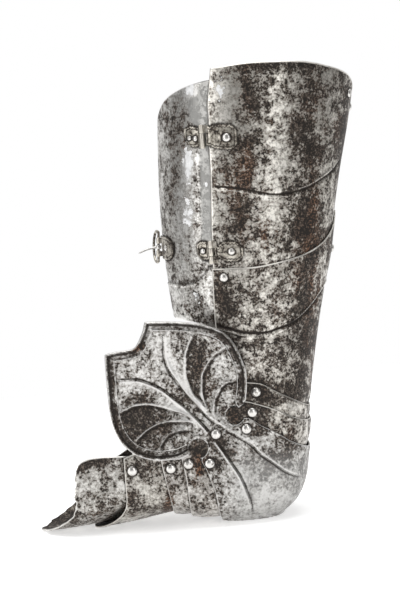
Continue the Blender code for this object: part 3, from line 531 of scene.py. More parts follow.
def sheet(top, foot, edges, columns, rows, inward, fine):
    """Rows between foot and top edge, columns between the upright edges, by shares of each."""
    place, share = np.meshgrid(spaced(columns, 0.6), spaced(rows, 0.5, fine))
    angle = edges[0] + (edges[1] - edges[0]) * place
    height = smooth(foot, angle) * (1 - share) + (smooth(top, angle) - FIT) * share
    if edges[0] < 0:
        outer = smooth(OUTER_EDGE, height) + 1.5 * ease(396, 416, height)
        angle = -smooth(INNER_EDGE, height) * (1 - place) + outer * place
    return thigh(angle, height, inward)


def sunk_line(line, depth=1.0, lip=0.9):
    """A sunk bead on the line, and a raised lip 2 mm below it, or above it at its front end."""

    def shape(points, edge):
        distance, share = from_line(points, line)
        front = ease(0.5, 0.64, share)
        lips = bead(distance, lip, 1.1, -2.0) * (1 - front)
        lips += bead(distance, 1.3 * lip, 1.0, 2.5) * front
        # The sunk bead is darkened through the hollow mark as painted shade, and the lip brightened
        # through the crest mark as painted highlight.
        return (bead(distance, -depth, 1.5, 0.6) + lips) * faded(share, 0.03, 0.03)

    return shape


def edge_roll(height):
    """A low bead that follows the border 2.6 mm inside it."""
    return lambda points, edge: bead(edge, height, 1.1, 2.6)


upper_grid = sheet(UPPER_TOP, UPPER_FOOT, (-95, 116), 180, 215, LAYER, 0.46)
worked(
    "upper_cuisse", [upper_grid], BEHIND_THIGH, "cuisse", "upper_cuisse_plate",
    [sunk_line(UPPER_GROOVE)], bright_edge=1.6, crests=lambda points: 1.6,
)

# %% [markdown]
# ## Lower plate
#
# At its foot this plate must let the first lame slide, so it narrows to two tabs at the knee's rivets
# and turns under between them. Above the pivots it is a sheet like the others. Below them each row is
# the pivots' row turned about their axis, and a turned row always clears the lame that turns there too.

# %% Lower plate
LOWER_TOP = (
    (-96, 252), (-67, 263), (-47, 271), (-32, 280), (-18, 291), (-8, 300), (0, 309), (8, 300),
    (18, 291), (32, 280), (47, 271), (67, 263), (90, 257), (118, 255),
)
LOWER_SPREAD = (-95, 113.8)
TAB, TUCK, NARROW_BELOW = 10.5, math.radians(34.0), 176.0


def lower_plate(columns=180, rows=175, tucked=26):
    """Rows by share of the height above the pivots; below them, rows turned by shares of TUCK."""
    middle, pivot_height = PIVOTS["cuisse"]
    front, back = smooth(THIGH, pivot_height, 1), smooth(THIGH, pivot_height, 2)
    tab_angle = math.degrees(math.acos((middle - TAB - (front + back) / 2) / ((front - back) / 2)))

    def place_angle(place, height):
        close = 1 - ease(pivot_height, NARROW_BELOW, height)
        low = -smooth(INNER_EDGE, height) * (1 - close) - tab_angle * close
        high = smooth(OUTER_EDGE, height) * (1 - close) + tab_angle * close
        return low + (high - low) * place

    place, share = np.meshgrid(spaced(columns, 0.6), np.linspace(1, 0, tucked)[:-1])
    base = thigh(place_angle(place, pivot_height), pivot_height)
    reach = base[..., 0] - middle
    turn = TUCK * share
    drop = np.maximum(reach * math.sin(TUCK), np.sqrt(np.maximum(TAB**2 - reach**2, 0))) * share
    x = np.where(reach > TAB, middle + reach * np.cos(turn), base[..., 0])
    z = pivot_height - np.where(reach > TAB, reach * np.sin(turn), drop)
    under = np.stack([x, base[..., 1], z], -1)
    place, share = np.meshgrid(spaced(columns, 0.6), 1 - (1 - spaced(rows, 0.5, 0.48)) ** 1.25)
    top = smooth(LOWER_TOP, LOWER_SPREAD[0] + (LOWER_SPREAD[1] - LOWER_SPREAD[0]) * place)
    height = pivot_height + (top - pivot_height) * share
    return np.concatenate([under, thigh(place_angle(place, height), height)])


worked(
    "lower_cuisse", [lower_plate()], (0, 0, 200), "cuisse", "lower_cuisse_plate",
    [sunk_line(LOWER_GROOVE)], bright_edge=1.4, crests=lambda points: 1.6,
)

# %% [markdown]
# ## Side plate
#
# The side plate lets the thigh be opened to put the harness on. It lies under the front plates and has
# one step hammered across its foot. A step is a line again, with the steel proud on one side only.

# %% Side plate
SIDE_TOP = ((108, 440), (121, 437), (136, 431), (158, 418), (176, 402), (190, 394))
SIDE_FOOT = ((108, 194), (118, 196.5), (135, 200.5), (155, 201.5), (190, 202))
SIDE_STEP = fair_line(((-30, 259), (-34, 256), (-51, 240), (-66, 237), (-86, 237)), 40)


def step_down(points, edge, height=0.6):
    """Below the line the steel drops by the height, and rises again as e to the -d / 9."""
    distance, share = from_line(points, SIDE_STEP)
    drop = height * (ease(-0.8, 0.8, distance) - 1) * np.exp(np.minimum(distance, 0) / 9)
    return (drop + bead(distance, 0.5, 0.8, 1.0)) * faded(share, 0.02, 0.02)


side_grid = sheet(SIDE_TOP, SIDE_FOOT, (111.3, 188.0), 90, 230, 2 * LAYER, 0.2)
worked("side_plate_skin", [side_grid], BEHIND_THIGH, "side_plate", "side_plate", [step_down])

# %% [markdown]
# ## Lames
#
# Lames are narrow bands that slide over each other as the knee bends. Each turns about its own pair of
# rivets, so its surface is made of arcs about that pivot: points keep their distance from the rivet and
# only their direction changes from one edge to the other.

# %% A band that turns about its pivot
def lame(pivot, front_reach, width, flat, start, first, last, rows=40, beside=26, around=64):
    """Straight rows beside the pivot, then arcs at reach = flat + (front - flat) sin t; mirrored."""
    pivot = np.array(pivot, float)
    ends, ways = [], []
    for edge in (first, last):
        line = fair_line(edge, 500)
        offset = line - pivot
        reach = np.hypot(offset[:, 0], offset[:, 1])
        inside = np.nonzero(reach < start)[0][-1]
        ends.append(fair_line(line[: inside + 1 : 4], beside + 1)[:-1])
        way = np.unwrap(way_of(offset), period=360)[inside:]
        ways.append((np.maximum.accumulate(reach[inside:]), way))
    share = spaced(rows, 0.5)[:, None]
    flat_part = ends[0] + (ends[1] - ends[0]) * share[..., None]
    front = front_reach[0] + (front_reach[1] - front_reach[0]) * share
    reach = np.hypot(*np.moveaxis(flat_part - pivot, -1, 0))
    side = stand(flat_part, -width * side_share(reach, flat, front))
    begin = np.arcsin((start - flat) / (front - flat))
    turn = begin + (np.pi / 2 - begin) * np.linspace(0, 1, around)[None]
    reach = flat + (front - flat) * np.sin(turn)
    a, b = (np.interp(reach, *way) for way in ways)
    way = a + ((b - a + 180) % 360 - 180) * share
    depth = -width * side_share(reach, flat, front)
    depth[:, -1] = 0
    half = np.concatenate([side, stand(pivot + reach[..., None] * toward(way), depth)], 1)
    return np.concatenate([half, half[:, -2::-1] * OTHER_SIDE], 1)


LAMES = (
    ("lame_a", (59.4, 59.4), 24.0, 32.0, 80,
     ((-8, 140), (0, 143.5), (13, 142.5), (27, 136), (46, 127), (65.4, 116)),
     ((-9, 107), (4, 103), (13, 103), (27, 100), (44, 94), (59.5, 86.5))),
    ("lame_b", (65.8, 65.8), 33.0, 35.0, 80,
     ((-24, 121), (-12, 125.5), (0, 125), (11, 122.5), (26, 118), (38, 113), (50, 108), (66.2, 102.5)),
     ((-24, 98), (-12, 87), (0, 85.5), (14, 82), (30, 77), (45, 70), (61, 66))),
    ("lame_c", (61.0, 63.4), 35.0, 36.0, 60,
     ((-36, 90), (-27, 77), (-24, 60), (-20, 48), (-16, 34), (-11, 8)),
     ((-62, 88), (-63, 70), (-59, 52), (-57, 39), (-55, 22), (-53, 3.2))),
    ("lame_d", (56.6, 60.0), 26.0, 28.0, 60,
     ((-46.5, 74), (-46, 62), (-45, 50), (-44, 35), (-42, 20), (-41, 8)),
     ((-84, 74), (-82.5, 62), (-79.5, 50), (-76, 36), (-73, 23), (-70, 4.9))),
)  # reach in front at both edges, end of the flat side, start of the arcs, middle height, the edges
for lame_name, front_reach, flat, start, middle, first, last in LAMES:
    grid = lame(PIVOTS[lame_name], front_reach, WIDTHS[lame_name], flat, start, first, last)
    worked(lame_name + "_band", [grid], (0, 0, middle), lame_name, lame_name, [edge_roll(0.25)])

# %% [markdown]
# ## The poleyn: the cop of the knee and its wing
#
# The knee piece is one sheet: a round about the strap's rivet, the wing that fans up and back from it,
# and the cop that wraps the knee. We draw it as three patches that share their edges: a disc, a fan
# whose rows run from the disc to the wing's outline, and a strip whose rows run over the knee.
# All three run the same way round the disc, or some of their faces would look inward.
# One rectangle of points bent into this shape would crowd its points where the sheet pinches.

# %% The wing
WING = (
    (-1, 127), (0.5, 142), (0, 155), (-5, 170), (-12, 184), (-22, 194.5), (-35, 200.5), (-51, 204),
    (-74, 205.5), (-98, 205), (-101, 195), (-110, 179), (-128, 175.5), (-137.5, 172), (-136, 148),
    (-133.5, 120), (-129.5, 102), (-121.5, 86), (-111, 76), (-99, 70.5), (-85, 68), (-68, 69.5),
    (-56, 74),
)
NECK = np.array(PIVOTS["neck"])
DISC, FLARE, WIDE = 28.0, 15.0, WIDTHS["poleyn"]


def fan(columns=290, rows=88):
    """Rows at shares s from disc to outline, out by flare * s^1.6 * (0.55 + 0.45 sin(way - 25))."""
    outline = fair_line(WING, columns)
    way = np.unwrap(way_of(outline - NECK), period=360)
    t = np.linspace(0, 1, rows)[:, None]
    share = t + 0.4 * t * (1 - t)
    start = NECK + DISC * toward(way)
    lift = FLARE * share**1.6 * (0.55 + 0.45 * np.sin(np.radians(way - 25)))
    return stand(start + (outline - start) * share[..., None], -WIDE - lift), way


wing_grid, wing_way = fan()
print("The wing fans from", wing_way[0].round(), "to", wing_way[-1].round(), "degrees")

# %% The cop
KNEE_REACH = (
    (-92, 90.5), (-78, 95.5), (-65, 101.5), (-57, 107), (-50, 110), (-43, 110), (-36, 108),
    (-26, 103), (-17, 98.5), (-8, 96.5),
)  # direction, reach of the front
KNEE_TOP = ((16, 32), (28, 32), (33, 29), (46, 10), (64, -1), (73, -5), (96, -10.5))
KNEE_FOOT = ((16, -120), (28, -119), (36, -105), (45, -97), (60, -90), (91, -86))
FLAT_KNEE, FAR_END, PRESS = 64.0, 18, 2.0


def pressed(points):
    """The flattened underside: a height h under twice the press becomes 2(h - press), or 0."""
    rise = (points - REST_POINT) @ UP
    kept = np.where(rise > 2 * PRESS, rise, np.maximum(2 * (rise - PRESS), 0.0))
    return points + UP * (kept - rise)[..., None]


def cop(columns=110, side_rows=26, bow_rows=66, far_rows=36):
    """Rows of growing reach on the flat side, then reach = 64 + (front - 64) sin t over the bow."""
    place = np.linspace(0, 1, columns)

    def strip(reach_of, rows):
        way = np.zeros((rows, columns))
        for _ in range(4):
            reach = reach_of(way)
            way = smooth(KNEE_TOP, reach) * (1 - place) + smooth(KNEE_FOOT, reach) * place
        return NECK + reach[..., None] * toward(way)

    def bow(turn):
        sine = np.sin(turn)[:, None]
        flat = strip(
            lambda way: FLAT_KNEE + (smooth(KNEE_REACH, way) - FLAT_KNEE) * sine, len(turn)
        )
        return stand(flat, -WIDE * np.sqrt(np.maximum(1 - sine**ROUNDING, 0)))

    def side(reaches):
        return stand(strip(lambda way: reaches[:, None] + 0 * way, len(reaches)), -WIDE)

    outer = side(np.linspace(DISC, FLAT_KNEE, side_rows)[:-1])
    near_bow = bow(np.linspace(0, np.pi / 2, bow_rows))
    far_bow = bow(np.linspace(np.pi / 2, 0, far_rows))
    inner = side(np.linspace(FLAT_KNEE, FAR_END, 14)[1:])
    far = np.concatenate([far_bow, inner]) * OTHER_SIDE
    return pressed(np.concatenate([outer, near_bow, far[1:]]))


cop_grid = cop()[:, ::-1]
print("The cop's grid is", cop_grid.shape[:2])

# %% [markdown]
# ## Flutes and rim
#
# The smith drove long ridges from the wing over the knee, with shorter sickles between them like the
# leaf of a plant, and raised a border round the wing. Each ridge has one steep side with a valley
# under it, which is what catches the light. We raise them as cross-sections on lines; ridges modelled
# by hand would look the same, but could not be made sharper with one number.

# %% Poleyn: flutes and rims
FLUTES = (
    # the two long ridges that run from the wing over the knee
    (((-79, 199), (-79, 177), (-75, 159), (-68, 148), (-58, 134), (-47, 122), (-36, 110),
      (-23, 101), (-6, 91), (9, 81), (14, 75), (27, 66), (41, 56), (56, 49), (66, 44)), 1.5, 4.5, 1.3),
    (((-129, 146), (-124, 146), (-107, 146), (-97, 143), (-84, 137), (-70, 126), (-61, 119),
      (-48, 106), (-38, 95), (-28, 82), (-15, 63), (-7, 51), (0, 35), (4, 22), (5, 5), (5, 0)),
     1.5, 1.3, 4.5),
    # the shorter sickles of the wing
    (((-51, 193), (-56, 182), (-59, 169), (-59, 155), (-56, 143), (-52, 133), (-45, 125),
      (-38, 116)), 1.5, 1.3, 5.0),
    (((-18, 181), (-21, 179), (-30, 173), (-38, 162), (-43, 149), (-43, 136), (-41, 126),
      (-37, 116)), 1.4, 1.3, 4.5),
    (((-7, 148), (-9, 147), (-20, 144), (-27, 135), (-31, 125), (-32, 113)), 1.2, 1.2, 3.6),
    (((-124, 115), (-118, 118), (-109, 122), (-97, 123), (-85, 121), (-72, 117), (-61, 114),
      (-48, 106)), 1.4, 4.5, 1.3),
    (((-109, 86), (-105, 90), (-96, 98), (-84, 104), (-72, 106), (-58, 106), (-48, 103)), 1.3, 4.0, 1.3),
    (((-87, 74), (-85, 78), (-81, 87), (-74, 94), (-65, 97), (-55, 98)), 1.2, 3.4, 1.2),
)  # line, height, width to the left, width to the right
WING_WAYS = (40, 50, 216, 226)  # directions: the wing begins, is full, is still full, has ended
CALM = (4.5, 9.0)  # from a rivet: no flute, full flute
BORDER = (8.5, 12.0)  # from the outline: no flute, full flute
wing_line = fair_line(WING, 160)


def from_rim(points):
    """Distance to the wing's outline."""
    return np.abs(from_line(points, wing_line)[0])


def wing_share(points):
    """1 on the wing, easing to 0 inside the disc of the neck and on the cop."""
    offset = points[:, [0, 2]] - NECK
    way = way_of(offset) % 360
    fanned = ease(*WING_WAYS[:2], way) * (1 - ease(*WING_WAYS[2:], way))
    outside = ease(DISC - 2, DISC + 5, np.hypot(offset[:, 0], offset[:, 1]))
    return outside * fanned * (points[:, 1] < 0)


def flutes(points, edge):
    """Ridges with a valley at their steep side, level round the rivets and inside the wing's rim."""
    total = np.zeros(len(points))
    outer = points[:, 1] < 3
    for line, height, left, right in FLUTES:
        distance, share = from_line(points[outer], fair_line(line, 40))
        # The valley also darkens the steel through the hollow mark: painted shade.
        valley = bead(distance, -1.1, 1.1, 2.2 if left < right else -2.2)
        total[outer] += (ridge(distance, height, left, right) + valley) * faded(share, 0.04, 0.1)
    for x, z in (PIVOTS["lame_b"], PIVOTS["lame_c"], PIVOTS["neck"]):
        total *= ease(*CALM, np.hypot(points[:, 0] - x, points[:, 2] - z)) * outer + ~outer
    return total * (1 - wing_share(points) * (1 - ease(*BORDER, from_rim(points))))


def wing_rim(points, edge):
    """Outline bead 1.8 mm proud, a sharp line inside it, a shallow hollow, and a fine bead."""
    d = from_rim(points)
    roll, hollow = bead(d, 1.8, 1.2, 1.1) - bead(d, 1.0, 1.0, 3.7), bead(d, 0.45, 1.5, 6.0)
    # The rim's hollow is darkened and its beads brightened through the marks: painted shade and painted
    # highlight.
    return wing_share(points) * (roll - hollow + bead(d, 1.3, 0.8, 8.8))


def cop_edge(points, edge):
    """A low bead along the cop's edges, and a short split sunk into the lower one."""
    distance, share = from_line(points, ((3.5, 24), (2.8, 16), (3.0, 9)))
    split = bead(distance, -1.0, 0.6) * (points[:, 1] < 0) * faded(share, 0.05, 0.02)
    return split + edge_roll(0.3)(points, edge) * (1 - wing_share(points))


lengths = [np.linalg.norm(np.diff(fair_line(row[0], 40), axis=0), axis=1).sum() for row in FLUTES]
print("The ridges are", np.round(lengths).astype(int).tolist(), "mm long")

# %% Close the sheet with its disc, and work it
NOTCHES = (((-10.9, 111.8), 9.3), ((-46.7, 78.9), 9.8))  # centre, radius


def on_disc(way_from, way_to):
    """Six points on the disc's edge between two directions."""
    return stand(NECK + DISC * toward(np.linspace(way_from, way_to, 8)[1:-1]), -WIDE)


ring = np.concatenate([
    wing_grid[0], on_disc(wing_way[-1], smooth(KNEE_FOOT, DISC) + 360),
    cop_grid[0], on_disc(smooth(KNEE_TOP, DISC) + 360, wing_way[0] + 360), wing_grid[:1, 0],
])
centre = np.array((NECK[0], -WIDE, NECK[1]))
disc_grid = centre + (ring - centre) * np.linspace(0, 1, 14)[:, None, None]
disc_grid[-1] = ring
worked(
    "knee_cop_and_wing", [disc_grid, wing_grid, cop_grid], (-20, 0, 90), "poleyn", "poleyn",
    [flutes, wing_rim, cop_edge], KNEE_PLATE, NOTCHES, edge_dip=0.4, bright_edge=0.6,
    crests=lambda points: 1 - 0.75 * wing_share(points) * (1 - ease(4.0, 6.0, from_rim(points))),
    satin=lambda points: ease(-22, 0, points[:, 0]) * (1 - ease(55, 85, points[:, 2])),
)

# %% [markdown]
# ## Shin plates
#
# Under the bent knee, two gutters carry the harness on towards the shin. A gutter is straight at its
# sides and round at its keel, and its rows move along the shin. The far one is broken off in the real
# harness, so the share where each column ends follows a ragged line.

# %% Gutters
SHIN_ROWS = (
    (-64, 74, -64, 49, -59, 9.4, 57.0, 1.0, 0), (-70, 74, -71, 48, -70, 7.2, 57.0, 1.0, 0),
    (-82, 73, -84, 43, -86, 3.4, 57.0, 1.0, 4), (-96, 72.5, -98, 36, -104, -1.2, 57.0, 1.1, 9),
    (-108, 72.5, -109, 31, -124, -5.2, 56.8, 1.6, 13), (-120, 68, -117, 28, -151, -10.0, 56.6, 2.6, 14),
)  # top, shoulder and keel in pairs, half width, lateness of the keel, drop of the inner top
GREAVE_ROWS = (
    (-100, 70.5, -101, 44, -104, 2.8, 55.1, 1.0, 9), (-116, 70.0, -117, 40, -124, -1.2, 55.1, 1.2, 9),
    (-132, 69.5, -133, 34, -148, -5.4, 54.6, 1.6, 17), (-150, 68, -150, 26, -171, -9.2, 53.6, 2.0, 19),
    (-161, 64, -161, 25, -190, -12.0, 52.6, 2.4, 19), (-170, 54, -169, 24, -207, -14.0, 52.1, 2.8, 16),
)


def gutter(sections, broken=0.0, rows=80, beside=22, around=60):
    """Straight from top to shoulder, then x by sin(t)^late and z by sin(t) from there to the keel."""
    place = np.concatenate([np.linspace(-1, 0, beside)[:-1], np.linspace(0, 1, around)])
    torn = 0.5 + 0.28 * np.sin(9.1 * place) + 0.2 * np.sin(23.0 * place + 1)
    torn += 0.12 * np.sin(51.0 * place) + 1.3 * (1 - ease(-1.0, -0.72, place))
    at = spaced(rows, 0.5)[:, None] * (len(sections) - 1 - broken * torn)
    table = [(i, *section) for i, section in enumerate(sections)]
    top_x, top_z, shoulder_x, shoulder_z, keel_x, keel_z, width, late, drop = (
        smooth(table, at, column) for column in range(1, 10)
    )
    down = np.clip(place + 1, 0, 1)
    share = np.sin(np.clip(place, 0, 1) * np.pi / 2)
    side_x, side_z = top_x + (shoulder_x - top_x) * down, top_z + (shoulder_z - top_z) * down
    keel_x, keel_z = (keel_x - shoulder_x) * share**late, (keel_z - shoulder_z) * share
    x = np.where(place < 0, side_x, shoulder_x + keel_x)
    z = np.where(place < 0, side_z, shoulder_z + keel_z)
    half = np.stack([x, -width * np.sqrt(np.maximum(1 - share**ROUNDING, 0)), z], -1)
    half[:, -1, 1] = 0
    inner = half[:, -2::-1] * OTHER_SIDE
    inner[..., 2] -= (drop * (1 - down))[:, -2::-1]
    return np.concatenate([half, inner], 1)


worked("shin_gutter", [gutter(SHIN_ROWS)], (-100, 0, 90), "shin", "shin_plate", [edge_roll(0.25)])
worked(
    "greave_gutter", [gutter(GREAVE_ROWS, broken=0.35)], (-140, 0, 90), "greave", "greave_plate",
    [edge_roll(0.2)],
)

# %% [markdown]
# ## Rivets
#
# A rivet is a turned shape: one profile carried round its axis. The heads are low domes, bright because
# the knee's movement polishes them, and each shank reaches through the plates.

# %% Turned pieces and closed shells
def turned(profile, at, axis, steps=36):
    """Each (radius, height) goes round: at + radius (cos t side + sin t other) + height axis."""
    axis = np.asarray(axis, float) / np.linalg.norm(axis)
    side = np.cross(axis, (0.3, 0.2, 1.0) if abs(axis[2]) < 0.9 else (1.0, 0.2, 0))
    side /= np.linalg.norm(side)
    t = np.linspace(0, 2 * np.pi, steps + 1)[:, None]
    circle = np.cos(t) * side + np.sin(t) * np.cross(axis, side)
    circle[-1] = circle[0]
    radius, height = np.asarray(profile, float).T[:, :, None, None]
    return np.asarray(at, float) + radius * circle + height * axis


def closed(grids):
    """A closed shell from grids, facing outward: its summed face volumes are made positive."""
    points, faces = weld(grids)
    return points, away_from(points[:, :3].mean(0), points[:, :3], faces)


def together(shells):
    """Shells as one set; a fourth column marks hollows and painted shade (+) and polished places (-)."""
    counts = np.cumsum([0] + [len(points) for points, _ in shells[:-1]])
    padded = [np.concatenate([p, np.zeros((len(p), 4 - p.shape[1]))], 1) for p, _ in shells]
    return np.concatenate(padded), np.concatenate([f + c for (_, f), c in zip(shells, counts)])


def rivet(name, at, outward, body, head=4.8, shank=2.2, through=3.2):
    """Head: radius head sin t, height head / 2 cos t; then the shank, and its end spread behind."""
    end = through + 2 * FIT
    t = np.linspace(0, np.pi / 2, 14)
    rise = head * 0.5 * (0.88 * np.cos(t) + 0.12 * np.cos(t) ** 0.3)
    below = ((head * 0.995, -0.02), (shank, 0), (shank, -end), (shank + 1.4, -end),
             (shank + 0.9, -end - 0.6), (0, -end - 0.9))
    profile = np.concatenate([np.stack([head * np.sin(t), rise], 1), below])
    outward = np.asarray(outward, float) / np.linalg.norm(outward)
    spots.append((*np.asarray(at, float), head))
    points, faces = closed([turned(profile, np.asarray(at) + outward * FIT, outward)])
    steel_piece(name + "_turned", points, faces, body, name)


print("A ring of three profile points is a grid of", turned([(1, 0)] * 3, (0, 0, 0), (0, 0, 1)).shape)

# %% Knee rivets, outer and inner
KNEE_RIVETS = (
    ("cuisse", "lame_a", 3.2), ("lame_a", "lame_b", 3.2), ("lame_b", "poleyn", 3.4),
    ("lame_c", "poleyn", 3.4), ("lame_d", "lame_c", 3.2), ("shin", "lame_d", 3.2),
    ("greave", "shin", 3.2),
)  # pivot, plate under the head, grip
for pivot, body, grip in KNEE_RIVETS:
    for side, word in ((-1, "outer"), (1, "inner")):
        spot = (PIVOTS[pivot][0], side * WIDTHS[body], PIVOTS[pivot][1])
        rivet(f"{pivot}_{word}_rivet", spot, (0, side, 0), body, through=grip)
rivet("wing_strap_rivet", (NECK[0], -WIDE, NECK[1]), (0, -1, 0), "poleyn", through=KNEE_PLATE)

# %% Thigh rivets
THIGH_RIVETS = (
    ("plate_rivet_outer", 105.5, 247.0, 4.2, 0.0, 3.5),
    ("plate_rivet_front", 1.0, 271.0, 4.0, 0.0, 3.5),
    ("top_rivet_outer", 17.0, 425.0, 4.2, LAYER, 1.6),
    ("top_rivet_front", -4.0, 411.0, 4.2, LAYER, 1.6),
)  # name, angle, height, head, depth of the face, grip
for rivet_name, angle, height, head, inward, grip in THIGH_RIVETS:
    spot, normal = on_thigh(angle, height, -inward), thigh_normal(angle, height)
    rivet(rivet_name, spot, normal, "cuisse", head=head, through=grip)

# %% [markdown]
# ## Hinges
#
# Two hinges share one straight axis. Each leaf is a small plate bent to the thigh, with a raised,
# roped border and a finial, and its knuckles are short tubes round the pin.
# The leaf is worked out on the thigh itself, by distance from the axis, so it follows the plate.

# %% The axis, and places on a leaf
LEAF, LEAF_LIFT, BARREL, PIN, PIN_OUT = 1.2, 1.8, 2.4, 1.15, 0.8
AXIS = ((267.0, 113.6), (383.0, 119.8))  # height and angle of the axis at two places
UPRIGHT = np.array((0, 0, 1.0))
axis_ends = [on_thigh(angle, height, 1.4) for height, angle in AXIS]


def along_axis(ends, height):
    """A value that changes evenly with the height from one of the axis's places to the other."""
    return ends[0] + (ends[1] - ends[0]) * (height - AXIS[0][0]) / (AXIS[1][0] - AXIS[0][0])


def axis_point(height):
    """A point of the straight line through both hinges' barrels."""
    return along_axis(axis_ends, height)


def leaf_place(away, height, side, lift):
    """On the thigh, at the axis's angle less side * away over the half width."""
    angle = along_axis([row[1] for row in AXIS], height)
    angle = angle - side * np.degrees(away / smooth(THIGH, height, 3)) * 1.02
    return on_thigh(angle, height, lift)


print("The hinges' axis leans", (axis_ends[1] - axis_ends[0]).round(1), "mm between its places")

# %% Leaves
WAVE, ROPE = 2.6, 1.9  # length of the outline's waves and of the rope's turns
leaf_rims = []


def slab(outer, inner):
    """A closed plate between two grids: the two faces and the four strips between their edges."""
    strips = [np.stack([outer[edge], inner[edge]]) for edge in (0, -1)]
    strips += [np.stack([outer[:, edge], inner[:, edge]]) for edge in (0, -1)]
    return closed([outer, inner, *strips])


def fitting(place, lift, hollow, edges=4):
    """A plate between place(lift) and place(-1.2 mm); its rim is kept for the laps' painted shadow round
    it.
    """
    outer, inner = place(lift), place(0 * lift - LEAF)
    rim = [inner[:, 0], inner[:, -1], inner[0], inner[-1]]
    leaf_rims.append(np.concatenate(rim[:edges]))
    return slab(np.dstack([outer, hollow]), np.dstack([inner, 0 * hollow]))


def leaf(outline, side, inward, bosses):
    """Half height and middle by distance from the axis; a roped bead at the border, and bosses."""
    start, end = outline[0][0], outline[-1][0]
    at = spaced(64, 0.3) * (end - start) + start
    away, across = np.meshgrid(at, spaced(34, 0.3) * 2 - 1, indexing="ij")
    half = smooth(outline, away, 1) * (1 + 0.035 * np.cos(away * 2 * np.pi / WAVE))
    height = smooth(outline, away, 2) + half * across
    border = np.minimum((1 - np.abs(across)) * half, np.minimum(away - start + 1.2, end - away))
    rope = 0.75 + 0.25 * np.cos((away + height) * 2 * np.pi / ROPE)
    lift = bead(border, 0.6, 0.75, 1.15) * rope
    lift -= 0.45 * (1 - ease(0, 0.7, border)) + 0.15 * ease(1.8, 2.6, border)
    # hollow darkens the leaf's rim, the hollow inside its bead, the rope's turns and rings round the
    # bosses: painted shade mixed with dirt.
    hollow = bead(border, 1.4, 0.5, 2.5) + 1.6 * (1 - ease(0.2, 0.6, border))
    hollow += 0.9 * (1 - rope) * bead(border, 1, 1, 1.2)
    for place, level, size in bosses:
        reach = np.hypot(away - place, height - level)
        lift += bead(reach, 0.25, 0.8, size + 1.3)
        hollow += bead(reach, 1.5, 0.7, size + 0.3)
    return fitting(
        lambda out: leaf_place(away, height, side, LEAF_LIFT - inward + out), lift, hollow
    )


print("A leaf is", LEAF, "mm thick, and its face stands", LEAF_LIFT, "mm off the plate")

# %% Knuckles and the tabs that hold them
def knuckle(at, foot, top, radius=BARREL, bore=PIN + FIT, lip=0.35):
    """A short tube round the axis: a ring-shaped profile with rounded lips."""
    low, high = at(foot), at(top)
    long = np.linalg.norm(high - low)
    ring = ((bore, 0), (radius - lip, 0), (radius - 0.1, 0.12), (radius, lip), (radius, long - lip),
            (radius - 0.1, long - 0.12), (radius - lip, long), (bore, long), (bore, 0))
    grid = turned(ring, low, high - low, 32)
    return closed([np.dstack([grid, np.full(grid.shape[:2], -0.9)])])


def tab(at, middle, reach, upright, tall):
    """A flat bar from a barrel to its leaf: a slab between two rectangles."""
    start = at(middle) + (reach - at(middle)) * 0.3
    run = reach - start
    over = np.cross(run, upright)
    over *= LEAF / 2 / np.linalg.norm(over)
    share = np.linspace(0, 1, 6)[:, None, None]
    face = start + run * share + (np.linspace(-0.5, 0.5, 8) * tall)[None, :, None] * upright
    return slab(face + over, face - over)


def forged(name, shells, body, stain_and_shading_level):
    """Shells as one dark piece, whose fourth column becomes the marks of hollows with their painted
    shade, and of edges.
    """
    points, faces = together(shells)
    deep = points[:, 3]
    marks = {"stain_and_shading": stain_and_shading_level, "hollow": np.maximum(deep, 0), "edge": np.maximum(-deep, 0)}
    steel_piece(name + "_forged", points[:, :3], faces, body, name, marks)


def hinge(name, fronts, backs, front_outline, back_outline, front_bosses, back_bosses):
    """Front leaf, back leaf and pin, each with its knuckles and the tabs that hold them."""
    low, high = (pick(end for span in fronts + backs for end in span) for pick in (min, max))
    upright = axis_point(high) - axis_point(low)
    length = np.linalg.norm(upright) + 2 * PIN_OUT
    upright /= np.linalg.norm(upright)
    for word, side, inward, outline, spans, bosses, body in (
        ("front_leaf", 1, LAYER, front_outline, fronts, front_bosses, "cuisse"),
        ("back_leaf", -1, 2 * LAYER, back_outline, backs, back_bosses, "side_plate"),
    ):
        shells = [leaf(outline, side, inward, bosses)]
        for foot, top in spans:
            middle = (foot + top) / 2
            reach = leaf_place(5.0, middle, side, LEAF_LIFT - LEAF / 2 - inward)
            shells += [knuckle(axis_point, foot, top),
                       tab(axis_point, middle, reach, upright, top - foot - 0.8)]
        forged(f"{name}_{word}", shells, body, -0.3)
    t = np.linspace(0, np.pi / 2, 6)
    end = np.stack([PIN * np.sin(t), 0.5 * (1 - np.cos(t))], 1)
    rod = np.concatenate([end, (0, length) + end[::-1] * (1, -1)])
    points, faces = closed([turned(rod, axis_point(low) - upright * PIN_OUT, upright, 20)])
    steel_piece(f"{name}_pin_rod", points, faces, "cuisse", f"{name}_pin")


print("A knuckle is", 2 * BARREL, "mm thick, round a pin of", 2 * PIN, "mm")

# %% The two hinges: knuckles' heights, outlines (distance, half height, middle), bosses
hinge(
    "upper_hinge", [(386.5, 394.5)], [(372.0, 386.0)],
    [(3.4, 9.6, 384.0), (6.5, 9.2, 383.5), (10, 11.4, 383.5), (22, 12.0, 383.0), (27, 9.8, 383.0),
     (29.4, 5.0, 383.0)],
    [(3.4, 8.5, 382.5), (8, 9.6, 382.5), (13, 10.0, 383.0), (16, 7.0, 384.5), (20, 2.6, 388.0)],
    [(20.5, 382.5, 4.0)], [(8.0, 381.0, 2.5), (14.0, 381.5, 2.2)],
)
hinge(
    "lower_hinge", [(260.5, 267.5), (275.5, 282.5)], [(268.0, 275.0)],
    [(3.4, 7.5, 271.0), (6.5, 5.5, 271.5), (8.5, 7.5, 272.5), (12, 9.8, 272.5), (20, 9.8, 272.5),
     (25, 6.0, 272.5), (27, 2.5, 272.5)],
    [(3.4, 9.0, 272.5), (8, 9.0, 272.5), (12, 7.5, 272.5), (14.5, 3.0, 272.5)],
    [(17.0, 272.5, 3.2)], [(8.5, 272.0, 2.6)],
)

